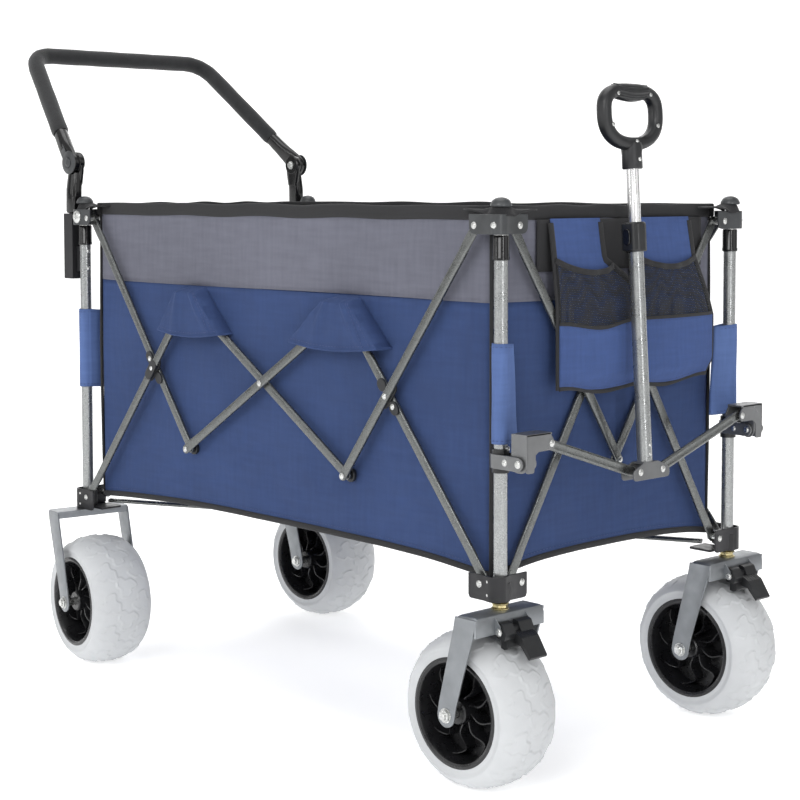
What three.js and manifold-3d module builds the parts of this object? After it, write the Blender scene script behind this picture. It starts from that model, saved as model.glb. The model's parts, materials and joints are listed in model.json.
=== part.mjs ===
// Folding beach cart: scissor-sided steel frame on telescoping corner posts, a fabric tub,
// balloon wheels, a pull handle in front and a push handle behind.
// Millimetres, +X to the front, +Y to the cart's left, +Z up, ground at z = 0.
import * as THREE from 'three';
import { mergeVertices } from 'three/addons/utils/BufferGeometryUtils.js';
import Module from 'manifold-3d';

const wasm = await Module();
wasm.setup();

// ---- driving dimensions -------------------------------------------------------------------
const POST_X = 460;                 // post axis from the middle, along the length
const POST_Y = 234.5;               // post axis from the middle, across
const POST_R = 8.75;
const POST_BORE_R = 7.6;
const INNER_TUBE_R = 7.2;
const INNER_TUBE_BOTTOM = 556;
const BRACKET_Z = 243;              // underside of the bottom bracket
const BRACKET_H = 32;
const TOP_BRACKET_Z = 700;
const TOP_BRACKET_H = 25;
const WING = 39;                    // reach of a bracket wing from the post axis
const SLEEVE_TOP = 699;
const SLEEVE_H = 31;
const CAP_Z = 735;
const CAP_R = 13.5;
const CAP_H = 11;
const GAP = 0.3;

const WHEEL_R = 101.6;
const TYRE_HALF = 52.5;
const RIM_R = 67.6;
const RIM_HALF = 46.7;
const WHEEL_SEGMENTS = 28;
const AXLE_R = 6;
const AXLE_BORE_R = 6.5;
const TRAIL = 34;                   // front axle behind the swivel axis
const REAR_AXLE_SHIFT = 39;         // rear axle ahead of the rear post
const FORK_HALF = 62;
const REAR_RIGHT_TURN = -8;          // the near rear fork stands turned by this many degrees on its post
const FORK_PLATE = 3;
const FORK_DEPTH = 35;
const FORK_TOP = 232;
const FORK_CHANNEL_H = 25;
const REAR_FORK_TOP = BRACKET_Z - GAP;
const REAR_STRIP_H = 4;

const BAR_W = 13;
const BAR_T = 6.5;
const LONG_INNER = POST_Y + 3.5;    // |y| of the two bar layers on a long side
const LONG_OUTER = POST_Y + 11;
const LONG_PLATE = POST_Y + 15;     // inner face of the bracket wings on a long side
const SHORT_INNER = POST_X - 13;    // |x| of the two bar layers on a short side
const SHORT_OUTER = POST_X - 5.5;
const SHORT_PLATE = POST_X + 7;
const WING_T = 2.5;

// pivots of one long side: [x from the middle, z]
const LONG_TOP = [430, 711];
const LONG_BOTTOM = [440, 263];
const LONG_LOW = [177, 368];
const LONG_HIGH = [175, 592];
// pivots of one short side: [y from the middle, z]
const SHORT_TOP = [210, 711];
const SHORT_BOTTOM = [205, 264];
const SHORT_LOW = [0, 396];
const SHORT_HIGH = [0, 600];

const FLOOR_PIVOT = [432, 208, 254];
const FLOOR_BAR_LENGTH = 356;
const FLOOR_BAR_T = 6;
const FLOOR_BAR_W = 14;
const FLOOR_BAR_TAIL = 3.5;
const WEB_Z = 262;

const TUB_X = 437;
const TUB_Y = 224.5;
const TUB_TOP = 735;
const TUB_FLOOR = 283;
const TUB_FLOOR_T = 6;
const TUB_WALL = 3;
const POCKET_BACK = 460;
const POCKET_FRONT = 468.5;
const POCKET_WALL = 1.5;
const POCKET_TOP = 655;
const POCKET_BOTTOM = 490;
const POCKETS = [
  { strap: [-145, -32], pouch: [-129, 20] },
  { strap: [32, 145], pouch: [36, 186] },
];

const SWING = [500, 419];           // x, z of the pull handle's swing axis
const CLAMP_HALF = 13;
const CLAMP_Z = [407, 431];
const ARM_TOP = [197, 442];
const ARM_LOW = [23, 386];
const ARM_W = 14;
const ARM_T = 5;
const ARM_OFFSET = 4.3;             // each V arm lies on its own side of the plane x = SWING[0]
const YOKE_HALF = 37;
const YOKE_CAP_HALF = 13;
const YOKE_Z = [375, 397];
const HANDLE_LEAN = -3.6;           // degrees about +Y, leaning back over the tub
const HANDLE_R = 10;
const HANDLE_BORE_R = 8.4;
const HANDLE_INNER_R = 7.9;
const COLLAR_Z = [674, 713];
const COLLAR_R = 14.5;
const GRIP_Z = [790, 897];
const GRIP_HALF = 58;
const GRIP_T = 20;

const PUSH_X = -492;                // push handle leg and knuckle axis
const PUSH_LEG_R = 8;
const PUSH_LEG_BOTTOM = 622;
const KNUCKLE_Z = 800;
const KNUCKLE_R = 17;
const FOAM_R = 15;
const PUSH_TOP = [-700, 987];       // x, z of the push handle's top bar
const PUSH_TOP_HALF = 180;          // the two arms close in to this half width at the top bar
const PUSH_CORNER = 40;
const CHANNEL_Z = [613, 718];
const CHANNEL_HALF = 12;

// ---- materials ------------------------------------------------------------------------------
function finish(color, roughness, metalness) {
  return new THREE.MeshStandardMaterial({ color, roughness, metalness });
}
const frameGrey = finish(0x8b8d8c, 0.42, 0.75);
const steelGrey = finish(0x6d6f70, 0.45, 0.7);
const blackPlastic = finish(0x1b1c1e, 0.5, 0);
const foamBlack = finish(0x17181a, 0.9, 0);
const blueFabric = finish(0x33446f, 0.92, 0);
const tyreGrey = finish(0xb2b2b3, 0.75, 0);
const webbingBlack = finish(0x202124, 0.9, 0);

// ---- solids -----------------------------------------------------------------------------------
function toSolid(geometry) {
  const bare = geometry.clone();
  bare.deleteAttribute('normal');
  bare.deleteAttribute('uv');
  const merged = mergeVertices(bare, 1e-4);
  return new wasm.Manifold(new wasm.Mesh({
    numProp: 3,
    vertProperties: new Float32Array(merged.attributes.position.array),
    triVerts: new Uint32Array(merged.index.array),
  }));
}

function toGeometry(solid) {
  const raw = solid.getMesh();
  const geometry = new THREE.BufferGeometry();
  geometry.setAttribute('position', new THREE.BufferAttribute(raw.vertProperties, 3));
  geometry.setIndex(new THREE.BufferAttribute(raw.triVerts, 1));
  geometry.computeVertexNormals();
  return geometry;
}

function join(...geometries) {
  return toGeometry(geometries.map(toSolid).reduce((whole, solid) => whole.add(solid)));
}

function cut(geometry, ...tools) {
  return toGeometry(tools.map(toSolid).reduce((whole, tool) => whole.subtract(tool), toSolid(geometry)));
}

function block(x0, x1, y0, y1, z0, z1) {
  const geometry = new THREE.BoxGeometry(Math.abs(x1 - x0), Math.abs(y1 - y0), Math.abs(z1 - z0));
  return geometry.translate((x0 + x1) / 2, (y0 + y1) / 2, (z0 + z1) / 2);
}

function cylinder(axis, radius, from, to, centre, sides = 16) {
  const geometry = new THREE.CylinderGeometry(radius, radius, Math.abs(to - from), sides);
  const middle = (from + to) / 2;
  if (axis === 'z') return geometry.rotateX(Math.PI / 2).translate(centre[0], centre[1], middle);
  if (axis === 'x') return geometry.rotateZ(Math.PI / 2).translate(middle, centre[0], centre[1]);
  return geometry.translate(centre[0], middle, centre[1]);
}

// A flat outline becomes a plate: 'xz' stands along the length, 'yz' stands across.
const PLANES = {
  xz: new THREE.Matrix4().makeBasis(
    new THREE.Vector3(1, 0, 0), new THREE.Vector3(0, 0, 1), new THREE.Vector3(0, -1, 0)),
  yz: new THREE.Matrix4().makeBasis(
    new THREE.Vector3(0, 1, 0), new THREE.Vector3(0, 0, 1), new THREE.Vector3(1, 0, 0)),
};

function plate(shape, thickness, plane, offset, options = {}) {
  const geometry = new THREE.ExtrudeGeometry(shape, {
    depth: thickness, bevelEnabled: false, curveSegments: 4, ...options,
  });
  geometry.translate(0, 0, -thickness / 2).applyMatrix4(PLANES[plane]);
  return plane === 'xz' ? geometry.translate(0, offset, 0) : geometry.translate(offset, 0, 0);
}

// A bar outline with round ends, from one pivot to another, running a radius past each.
function barShape(from, to, width) {
  const start = new THREE.Vector2(...from);
  const end = new THREE.Vector2(...to);
  const angle = end.clone().sub(start).angle();
  const shape = new THREE.Shape();
  shape.absarc(start.x, start.y, width / 2, angle + Math.PI / 2, angle + 3 * Math.PI / 2);
  shape.absarc(end.x, end.y, width / 2, angle - Math.PI / 2, angle + Math.PI / 2);
  return shape;
}

const cart = new THREE.Group();

function add(name, geometry, material, parent = cart) {
  const mesh = new THREE.Mesh(geometry, material);
  mesh.name = name;
  parent.add(mesh);
  return mesh;
}

const CORNERS = [
  { name: 'front_right', sx: 1, sy: -1 },
  { name: 'front_left', sx: 1, sy: 1 },
  { name: 'rear_right', sx: -1, sy: -1 },
  { name: 'rear_left', sx: -1, sy: 1 },
];

// ---- posts and brackets ------------------------------------------------------------------------
// The corner block and its two wings, whose outer plates cover the bar ends.
function bracket(sx, sy, z0, height) {
  const z1 = z0 + height;
  const x = (value) => sx * value;
  const y = (value) => sy * value;
  return join(
    block(x(POST_X - 11), x(SHORT_PLATE + WING_T), y(POST_Y - 11), y(LONG_PLATE + WING_T), z0, z1),
    block(x(POST_X - WING), x(POST_X), y(LONG_PLATE), y(LONG_PLATE + WING_T), z0, z1),
    block(x(SHORT_PLATE), x(SHORT_PLATE + WING_T), y(POST_Y - WING), y(POST_Y), z0, z1),
  );
}

// A spacer between a wing plate and the bar behind it.
function longSpacer(sx, sy, pivot, layer) {
  const face = layer + BAR_T / 2 + GAP;
  return cylinder('y', 5, sy * face, sy * (LONG_PLATE + 1), [sx * pivot[0], pivot[1]], 10);
}

function shortSpacer(sx, sy, pivot, layer) {
  const face = layer + BAR_T / 2 + GAP;
  return cylinder('x', 5, sx * face, sx * (SHORT_PLATE + 1), [sy * pivot[0], pivot[1]], 10);
}

function kingpinBore(sx, sy) {
  return cylinder('z', 6.6, BRACKET_Z - 10, 262, [sx * POST_X, sy * POST_Y], 12);
}

function clamp(sy) {
  const outline = barShape([POST_X, SWING[1]], SWING, CLAMP_Z[1] - CLAMP_Z[0]);
  const cheek = (side) => plate(outline, 3, 'xz', sy * POST_Y + side * (CLAMP_HALF - 1.5));
  const band = block(POST_X - 11.5, POST_X + 9, sy * POST_Y - CLAMP_HALF, sy * POST_Y + CLAMP_HALF, ...CLAMP_Z);
  return join(cheek(-1), cheek(1), band);
}

// The seat behind a rear post that the push handle's leg drops into. The right one is a closed
// channel. The left one is open outwards, because the left post folds away from the leg.
function pushSeat(sy, closed) {
  const y = sy * POST_Y;
  const back = PUSH_X + CHANNEL_HALF + 0.5;
  const wall = 2.3;
  const inboard = y - sy * CHANNEL_HALF;
  const outboard = y + sy * CHANNEL_HALF;
  const rear = PUSH_X - CHANNEL_HALF;
  const pieces = [
    block(back, back - wall, inboard, outboard, ...CHANNEL_Z),
    block(back, rear, inboard, inboard + sy * wall, ...CHANNEL_Z),
    block(-POST_X, back - 1, y - 5, y + 5, 625, 665),
  ];
  if (closed) {
    pieces.push(block(back, rear, outboard - sy * wall, outboard, ...CHANNEL_Z));
    pieces.push(block(rear, rear + wall, inboard, outboard, ...CHANNEL_Z));
  }
  return join(...pieces);
}

function lowerPost({ sx, sy }) {
  const centre = [sx * POST_X, sy * POST_Y];
  const bottomLayer = sx > 0 ? LONG_INNER : LONG_OUTER;
  const shortLayer = sy < 0 ? SHORT_INNER : SHORT_OUTER;
  const lug = block(sx * (POST_X - WING), sx * POST_X, sy * (POST_Y - WING), sy * POST_Y, BRACKET_Z, BRACKET_Z + 3);
  const pieces = [
    cylinder('z', POST_R, BRACKET_Z + 1, SLEEVE_TOP, centre),
    cylinder('z', POST_R + 1.8, SLEEVE_TOP - SLEEVE_H, SLEEVE_TOP, centre),
    bracket(sx, sy, BRACKET_Z, BRACKET_H),
    longSpacer(sx, sy, LONG_BOTTOM, bottomLayer),
    shortSpacer(sx, sy, SHORT_BOTTOM, shortLayer),
    lug,
  ];
  if (sx > 0) pieces.push(clamp(sy));
  if (sx < 0) pieces.push(pushSeat(sy, sy < 0));
  const bores = [cylinder('z', POST_BORE_R, INNER_TUBE_BOTTOM - 6, SLEEVE_TOP + 5, centre)];
  if (sx > 0) bores.push(kingpinBore(sx, sy));
  return cut(join(...pieces), ...bores);
}

function upperPost({ sx, sy }) {
  const centre = [sx * POST_X, sy * POST_Y];
  const topLayer = sx > 0 ? LONG_OUTER : LONG_INNER;
  const shortLayer = sy < 0 ? SHORT_OUTER : SHORT_INNER;
  const dome = new THREE.LatheGeometry([
    new THREE.Vector2(0, 0), new THREE.Vector2(CAP_R, 0), new THREE.Vector2(CAP_R, CAP_H * 0.35),
    new THREE.Vector2(CAP_R * 0.75, CAP_H * 0.8), new THREE.Vector2(0, CAP_H),
  ], 16).rotateX(Math.PI / 2).translate(...centre, CAP_Z);
  return join(
    cylinder('z', INNER_TUBE_R, INNER_TUBE_BOTTOM, CAP_Z + 1, centre),
    bracket(sx, sy, TOP_BRACKET_Z, TOP_BRACKET_H),
    longSpacer(sx, sy, LONG_TOP, topLayer),
    shortSpacer(sx, sy, SHORT_TOP, shortLayer),
    dome,
  );
}

for (const corner of CORNERS) {
  add(`${corner.name}_post`, lowerPost(corner), frameGrey);
  add(`${corner.name}_post_slider`, upperPost(corner), blackPlastic);
}

// ---- scissor bars -------------------------------------------------------------------------------
// Each long side is a double scissor of six bars, and each short side a single scissor of four.
const back = ([x, z]) => [-x, z];
const LONG_BARS = [
  ['rear_top', back(LONG_TOP), back(LONG_LOW), LONG_INNER],
  ['rear_bottom', back(LONG_BOTTOM), back(LONG_HIGH), LONG_OUTER],
  ['middle_falling', back(LONG_HIGH), LONG_LOW, LONG_INNER],
  ['middle_rising', back(LONG_LOW), LONG_HIGH, LONG_OUTER],
  ['front_bottom', LONG_BOTTOM, LONG_HIGH, LONG_INNER],
  ['front_top', LONG_TOP, LONG_LOW, LONG_OUTER],
];
for (const [side, sy] of [['right', -1], ['left', 1]]) {
  for (const [name, from, to, layer] of LONG_BARS) {
    add(`${side}_bar_${name}`, plate(barShape(from, to, BAR_W), BAR_T, 'xz', sy * layer), frameGrey);
  }
}

const SHORT_BARS = [
  ['right_top', back(SHORT_TOP), SHORT_LOW, SHORT_OUTER],
  ['right_bottom', back(SHORT_BOTTOM), SHORT_HIGH, SHORT_INNER],
  ['left_bottom', SHORT_BOTTOM, SHORT_HIGH, SHORT_OUTER],
  ['left_top', SHORT_TOP, SHORT_LOW, SHORT_INNER],
];
for (const [end, sx] of [['front', 1], ['rear', -1]]) {
  for (const [name, from, to, layer] of SHORT_BARS) {
    add(`${end}_bar_${name}`, plate(barShape(from, to, BAR_W), BAR_T, 'yz', sx * layer), frameGrey);
  }
}

// ---- floor bars and their centre web ---------------------------------------------------------------
// Four bars slope up from the bottom brackets as the cart folds. They stop short of the middle,
// where a soft web ties their tips together under the tub.
const FLOOR_AZIMUTH = Math.atan2(FLOOR_PIVOT[1], FLOOR_PIVOT[0]);

for (const { name, sx, sy } of CORNERS) {
  const direction = Math.atan2(-sy * FLOOR_PIVOT[1], -sx * FLOOR_PIVOT[0]);
  const half = FLOOR_BAR_W / 2;
  const bar = block(-FLOOR_BAR_TAIL, FLOOR_BAR_LENGTH, -half, half, -FLOOR_BAR_T / 2, FLOOR_BAR_T / 2);
  const mesh = add(`${name}_floor_bar`, bar, frameGrey);
  mesh.position.set(sx * FLOOR_PIVOT[0], sy * FLOOR_PIVOT[1], FLOOR_PIVOT[2]);
  mesh.rotation.z = direction;
}

function floorWeb() {
  const reach = Math.hypot(FLOOR_PIVOT[0], FLOOR_PIVOT[1]) - FLOOR_BAR_LENGTH + 20;
  const strap = () => block(-reach, reach, -12, 12, WEB_Z - 1.5, WEB_Z + 1.5);
  return join(
    strap().rotateZ(FLOOR_AZIMUTH),
    strap().rotateZ(-FLOOR_AZIMUTH),
    cylinder('z', 30, WEB_Z - 2, WEB_Z + 4, [0, 0], 20),
  );
}
add('floor_web', floorWeb(), webbingBlack);

// ---- fabric tub with its two front pockets -----------------------------------------------------------
function tub() {
  const outer = block(-TUB_X, TUB_X, -TUB_Y, TUB_Y, TUB_FLOOR, TUB_TOP);
  const inside = block(
    TUB_WALL - TUB_X, TUB_X - TUB_WALL, TUB_WALL - TUB_Y, TUB_Y - TUB_WALL,
    TUB_FLOOR + TUB_FLOOR_T, TUB_TOP + 10);
  const pieces = [outer];
  const hollows = [inside];
  for (const { strap, pouch } of POCKETS) {
    pieces.push(block(TUB_X - 1, POCKET_BACK + 1, ...strap, 726, 729));
    pieces.push(block(POCKET_BACK, POCKET_BACK + POCKET_WALL, ...strap, POCKET_TOP - 5, 729));
    pieces.push(block(POCKET_BACK, POCKET_FRONT, ...pouch, POCKET_BOTTOM, POCKET_TOP));
    hollows.push(block(
      POCKET_BACK + POCKET_WALL, POCKET_FRONT - POCKET_WALL, pouch[0] + 2, pouch[1] - 2,
      POCKET_BOTTOM + 2, POCKET_TOP + 5));
  }
  return cut(join(...pieces), ...hollows);
}
add('fabric_tub', tub(), blueFabric);

// ---- wheels and forks -----------------------------------------------------------------------------------
function ring(profile) {
  const points = profile.map(([radius, along]) => new THREE.Vector2(radius, along)).reverse();
  return new THREE.LatheGeometry([...points, points[0].clone()], WHEEL_SEGMENTS);
}

function tyre() {
  const inner = RIM_R + 0.5;
  return ring([
    [inner, -RIM_HALF], [inner, RIM_HALF], [RIM_R + 6, TYRE_HALF - 1.5], [WHEEL_R - 17, TYRE_HALF],
    [WHEEL_R - 6, TYRE_HALF * 0.78], [WHEEL_R, TYRE_HALF * 0.34], [WHEEL_R, -TYRE_HALF * 0.34],
    [WHEEL_R - 6, -TYRE_HALF * 0.78], [WHEEL_R - 17, -TYRE_HALF], [RIM_R + 6, 1.5 - TYRE_HALF],
  ]);
}

// The rim's barrel, dished web and hub in one section, with a clear bore for the axle.
function rim() {
  return ring([
    [AXLE_BORE_R, -45], [AXLE_BORE_R, 45], [16, 45], [18, 9], [RIM_R - 5, 13], [RIM_R - 5, RIM_HALF],
    [RIM_R, RIM_HALF], [RIM_R, -RIM_HALF], [RIM_R - 5, -RIM_HALF], [RIM_R - 5, -13], [18, -9], [16, -45],
  ]);
}

function forkLeg(top, axleX, y) {
  const shape = new THREE.Shape();
  const half = FORK_DEPTH / 2;
  const foot = 11;
  shape.moveTo(top[0] + half, top[1]);
  shape.lineTo(top[0] - half, top[1]);
  shape.lineTo(axleX - foot, WHEEL_R);
  shape.absarc(axleX, WHEEL_R, foot, Math.PI, 2 * Math.PI);
  shape.closePath();
  return plate(shape, FORK_PLATE, 'xz', y);
}

function axle(axleX, y) {
  const half = FORK_HALF;
  return join(
    cylinder('y', AXLE_R, y - half, y + half, [axleX, WHEEL_R], 12),
    cylinder('y', 9.5, y - half - 6, y - half + 1, [axleX, WHEEL_R], 6),
    cylinder('y', 9.5, y + half - 1, y + half + 6, [axleX, WHEEL_R], 6),
  );
}

function fork({ sx, sy }) {
  const front = sx > 0;
  const x = sx * POST_X;
  const y = sy * POST_Y;
  const top = front ? FORK_TOP : REAR_FORK_TOP;
  const height = front ? FORK_CHANNEL_H : REAR_STRIP_H;
  const half = FORK_DEPTH / 2;
  const axleX = front ? x - TRAIL : x + REAR_AXLE_SHIFT;
  const pieces = [
    block(x - half, x + half, y - FORK_HALF, y + FORK_HALF, top - height, top),
    forkLeg([x, top - 1], axleX, y - FORK_HALF + FORK_PLATE / 2),
    forkLeg([x, top - 1], axleX, y + FORK_HALF - FORK_PLATE / 2),
    axle(axleX, y),
  ];
  if (front) {
    pieces.push(cylinder('z', 6, top - 5, 258, [x, y], 12));
    pieces.push(cylinder('z', 11, top - 1, BRACKET_Z - 0.4, [x, y], 12));
  }
  return join(...pieces);
}

// The brake pedal hangs on the front face of a swivelling fork and presses a shoe on the tyre.
function brakePedal(sy) {
  const x = POST_X + FORK_DEPTH / 2 + GAP;
  const y = sy * POST_Y;
  return join(
    block(x, x + 13, y - 26, y + 26, 209, 228),
    block(x + 6, x + 34, y - 22, y + 22, 203, 209.5),
    block(x + 2.7, x + 13.7, y - 20, y + 20, 190, 210),
  );
}

// Turns a mesh about a corner post's upright axis.
function turnOnPost(mesh, { sx, sy }, degrees) {
  const centre = new THREE.Vector3(sx * POST_X, sy * POST_Y, 0);
  const up = new THREE.Vector3(0, 0, 1);
  const angle = THREE.MathUtils.degToRad(degrees);
  mesh.position.sub(centre).applyAxisAngle(up, angle).add(centre);
  mesh.rotateOnWorldAxis(up, angle);
}

for (const corner of CORNERS) {
  const front = corner.sx > 0;
  const axleX = front ? POST_X - TRAIL : REAR_AXLE_SHIFT - POST_X;
  const hub = [axleX, corner.sy * POST_Y, WHEEL_R];
  const rolling = [
    add(`${corner.name}_fork`, fork(corner), steelGrey),
    add(`${corner.name}_tyre`, tyre(), tyreGrey),
    add(`${corner.name}_rim`, rim(), blackPlastic),
  ];
  for (const mesh of rolling.slice(1)) mesh.position.set(...hub);
  if (corner.name === 'rear_right') {
    for (const mesh of rolling) turnOnPost(mesh, corner, REAR_RIGHT_TURN);
  }
  if (front) add(`${corner.name}_brake_pedal`, brakePedal(corner.sy), blackPlastic);
}

// ---- pull handle --------------------------------------------------------------------------------------------
// A swinging side bracket hooks on each front post's clamp and carries one arm of the V.
function pullBracket(sy) {
  const y = (value) => sy * value;
  const x0 = SWING[0] - 12;
  const x1 = SWING[0] + 12;
  const tongue = CLAMP_HALF - 3 - 0.7;
  return join(
    plate(barShape(SWING, [SWING[0], SWING[1] + 22], 23), 2 * tongue, 'xz', y(POST_Y)),
    block(x0, x1, y(POST_Y + 15), y(208), 435, 456),
    block(x0, x0 + 2.5, y(210), y(187), 431, 456),
    block(x1 - 2.5, x1, y(210), y(187), 431, 456),
  );
}

function pullArm(sy) {
  const outline = barShape([sy * ARM_TOP[0], ARM_TOP[1]], [sy * ARM_LOW[0], ARM_LOW[1]], ARM_W);
  return plate(outline, ARM_T, 'yz', SWING[0] + sy * ARM_OFFSET);
}

// The handle is drawn upright on its own axis and then leans back about the yoke.
function lean(mesh) {
  mesh.position.set(SWING[0], 0, ARM_LOW[1]);
  mesh.rotation.y = THREE.MathUtils.degToRad(HANDLE_LEAN);
  return mesh;
}

const fromYoke = (z) => z - ARM_LOW[1];

function pullTubeLower() {
  const inner = 8.6;
  const outer = inner + 2.5;
  const z = YOKE_Z.map(fromYoke);
  const collar = COLLAR_Z.map(fromYoke);
  const body = join(
    block(-outer, -inner, -YOKE_HALF, YOKE_HALF, ...z),
    block(inner, outer, -YOKE_HALF, YOKE_HALF, ...z),
    block(-outer, outer, -YOKE_CAP_HALF, YOKE_CAP_HALF, z[1] - 2, z[1] + 1),
    cylinder('z', HANDLE_R, z[1], collar[1], [0, 0]),
    cylinder('z', COLLAR_R, ...collar, [0, 0]),
    block(-10, 10, -COLLAR_R - 3, 0, ...collar),
  );
  const bore = cylinder('z', HANDLE_BORE_R, fromYoke(405), collar[1] + 5, [0, 0]);
  const buttonWell = block(-7, 7, -COLLAR_R - 8, -10.5, collar[0] + 8, collar[1] - 8);
  return cut(body, bore, buttonWell);
}

function lockButton() {
  const collar = COLLAR_Z.map(fromYoke);
  return block(-6.5, 6.5, -COLLAR_R - 5.5, -13.5, collar[0] + 8.5, collar[1] - 8.5);
}

function roundedOutline(target, half, z0, z1, radius) {
  target.moveTo(-half + radius, z0);
  target.lineTo(half - radius, z0);
  target.absarc(half - radius, z0 + radius, radius, -Math.PI / 2, 0);
  target.absarc(half - radius, z1 - radius, radius, 0, Math.PI / 2);
  target.absarc(radius - half, z1 - radius, radius, Math.PI / 2, Math.PI);
  target.absarc(radius - half, z0 + radius, radius, Math.PI, 3 * Math.PI / 2);
  return target;
}

function grip() {
  const bevel = 4;
  const z0 = fromYoke(GRIP_Z[0] + 14);
  const z1 = fromYoke(GRIP_Z[1]);
  const shape = roundedOutline(new THREE.Shape(), GRIP_HALF - bevel, z0 + bevel, z1 - bevel, 36);
  shape.holes.push(roundedOutline(new THREE.Path(), GRIP_HALF - 20, z0 + 20, z1 - 20, 22));
  return plate(shape, GRIP_T - 2 * bevel, 'yz', 0, {
    bevelEnabled: true, bevelThickness: bevel, bevelSize: bevel, bevelSegments: 1,
  });
}

function pullTubeUpper() {
  return join(
    cylinder('z', HANDLE_INNER_R, fromYoke(474), fromYoke(GRIP_Z[0]) + 4, [0, 0]),
    cylinder('z', 12, fromYoke(GRIP_Z[0] - 8), fromYoke(GRIP_Z[0]) + 20, [0, 0]),
    grip(),
  );
}

for (const [side, sy] of [['right', -1], ['left', 1]]) {
  add(`pull_bracket_${side}`, pullBracket(sy), steelGrey);
  add(`pull_arm_${side}`, pullArm(sy), steelGrey);
}
lean(add('pull_tube_lower', pullTubeLower(), steelGrey));
lean(add('pull_lock_button', lockButton(), blackPlastic));
lean(add('pull_tube_upper', pullTubeUpper(), blackPlastic));

// ---- push handle ---------------------------------------------------------------------------------------------
function pushLeg(sy) {
  const y = (value) => sy * (POST_Y + value);
  return join(
    cylinder('z', PUSH_LEG_R, PUSH_LEG_BOTTOM, KNUCKLE_Z - KNUCKLE_R - 2, [PUSH_X, y(0)]),
    cylinder('y', KNUCKLE_R, y(-12), y(-2), [PUSH_X, KNUCKLE_Z], 20),
    block(PUSH_X - 10, PUSH_X + 10, y(-11), y(-2), KNUCKLE_Z - 26, KNUCKLE_Z),
    block(PUSH_X - 11, PUSH_X + 10, y(-9), y(8), CHANNEL_Z[1] + 1, KNUCKLE_Z - KNUCKLE_R - 8),
  );
}

// The foam-covered U runs up one arm, across the top bar and down the other arm.
class HandlePath extends THREE.CurvePath {
  constructor() {
    super();
    const start = [PUSH_X, KNUCKLE_Z];
    const length = Math.hypot(PUSH_TOP[0] - start[0], PUSH_TOP[1] - start[1]);
    const foot = POST_Y + 3.5;
    const at = (distance, sy) => new THREE.Vector3(
      start[0] + (PUSH_TOP[0] - start[0]) * distance / length,
      sy * (foot + (PUSH_TOP_HALF - foot) * distance / length),
      start[1] + (PUSH_TOP[1] - start[1]) * distance / length);
    const bar = (y) => new THREE.Vector3(PUSH_TOP[0], y, PUSH_TOP[1]);
    const corner = length - PUSH_CORNER;
    const turn = PUSH_TOP_HALF - PUSH_CORNER;
    this.add(new THREE.LineCurve3(at(8, -1), at(corner, -1)));
    this.add(new THREE.QuadraticBezierCurve3(at(corner, -1), at(length, -1), bar(-turn)));
    this.add(new THREE.LineCurve3(bar(-turn), bar(turn)));
    this.add(new THREE.QuadraticBezierCurve3(bar(turn), at(length, 1), at(corner, 1)));
    this.add(new THREE.LineCurve3(at(corner, 1), at(8, 1)));
  }
}

function pushHandle() {
  const circle = new THREE.Shape().absarc(0, 0, FOAM_R - 2, 0, 2 * Math.PI);
  const tube = new THREE.ExtrudeGeometry(circle, {
    extrudePath: new HandlePath(), steps: 26, curveSegments: 6, bevelEnabled: false,
  });
  const pieces = [tube];
  const wells = [];
  for (const sy of [-1, 1]) {
    const y = (value) => sy * (POST_Y + value);
    pieces.push(cylinder('y', KNUCKLE_R, y(-1.5), y(8.5), [PUSH_X, KNUCKLE_Z], 20));
    wells.push(cylinder('y', 8.4, y(0.5), y(20), [PUSH_X, KNUCKLE_Z]));
    wells.push(cylinder('y', KNUCKLE_R + 3, y(-1.5), y(-20), [PUSH_X, KNUCKLE_Z], 20));
    wells.push(cylinder('y', KNUCKLE_R - 1, y(8.5), y(20), [PUSH_X, KNUCKLE_Z], 20));
  }
  return cut(join(...pieces), ...wells);
}

add('push_handle', pushHandle(), foamBlack);
for (const [side, sy] of [['right', -1], ['left', 1]]) {
  const y = (value) => sy * (POST_Y + value);
  add(`push_leg_${side}`, pushLeg(sy), blackPlastic);
  add(`push_button_${side}`, cylinder('y', 7.8, y(4), y(12), [PUSH_X, KNUCKLE_Z]), blackPlastic);
}

// The origin is the middle of the whole cart's footprint, on the ground.
const bounds = new THREE.Box3().setFromObject(cart, true);
cart.position.x = -(bounds.min.x + bounds.max.x) / 2;
cart.position.y = -(bounds.min.y + bounds.max.y) / 2;

export default cart;
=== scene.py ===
import json
import math

import bpy
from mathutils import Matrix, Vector, noise


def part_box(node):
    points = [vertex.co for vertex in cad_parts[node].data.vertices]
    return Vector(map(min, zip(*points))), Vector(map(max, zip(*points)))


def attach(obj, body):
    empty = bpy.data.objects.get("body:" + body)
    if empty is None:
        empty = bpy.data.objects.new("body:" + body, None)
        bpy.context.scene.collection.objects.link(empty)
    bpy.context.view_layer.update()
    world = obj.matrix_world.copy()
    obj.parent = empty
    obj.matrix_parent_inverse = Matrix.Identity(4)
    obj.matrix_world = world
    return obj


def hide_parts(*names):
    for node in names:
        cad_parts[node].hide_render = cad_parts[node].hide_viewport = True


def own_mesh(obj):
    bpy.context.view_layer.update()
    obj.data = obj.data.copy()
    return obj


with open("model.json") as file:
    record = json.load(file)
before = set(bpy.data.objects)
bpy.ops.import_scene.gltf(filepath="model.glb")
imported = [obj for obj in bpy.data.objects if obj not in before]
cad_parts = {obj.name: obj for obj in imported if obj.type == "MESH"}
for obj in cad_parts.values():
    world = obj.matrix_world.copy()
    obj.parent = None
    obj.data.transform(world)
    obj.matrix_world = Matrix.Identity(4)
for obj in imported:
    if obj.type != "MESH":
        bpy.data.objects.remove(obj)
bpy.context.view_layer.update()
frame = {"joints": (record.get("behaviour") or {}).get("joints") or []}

MM = 0.001

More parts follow.
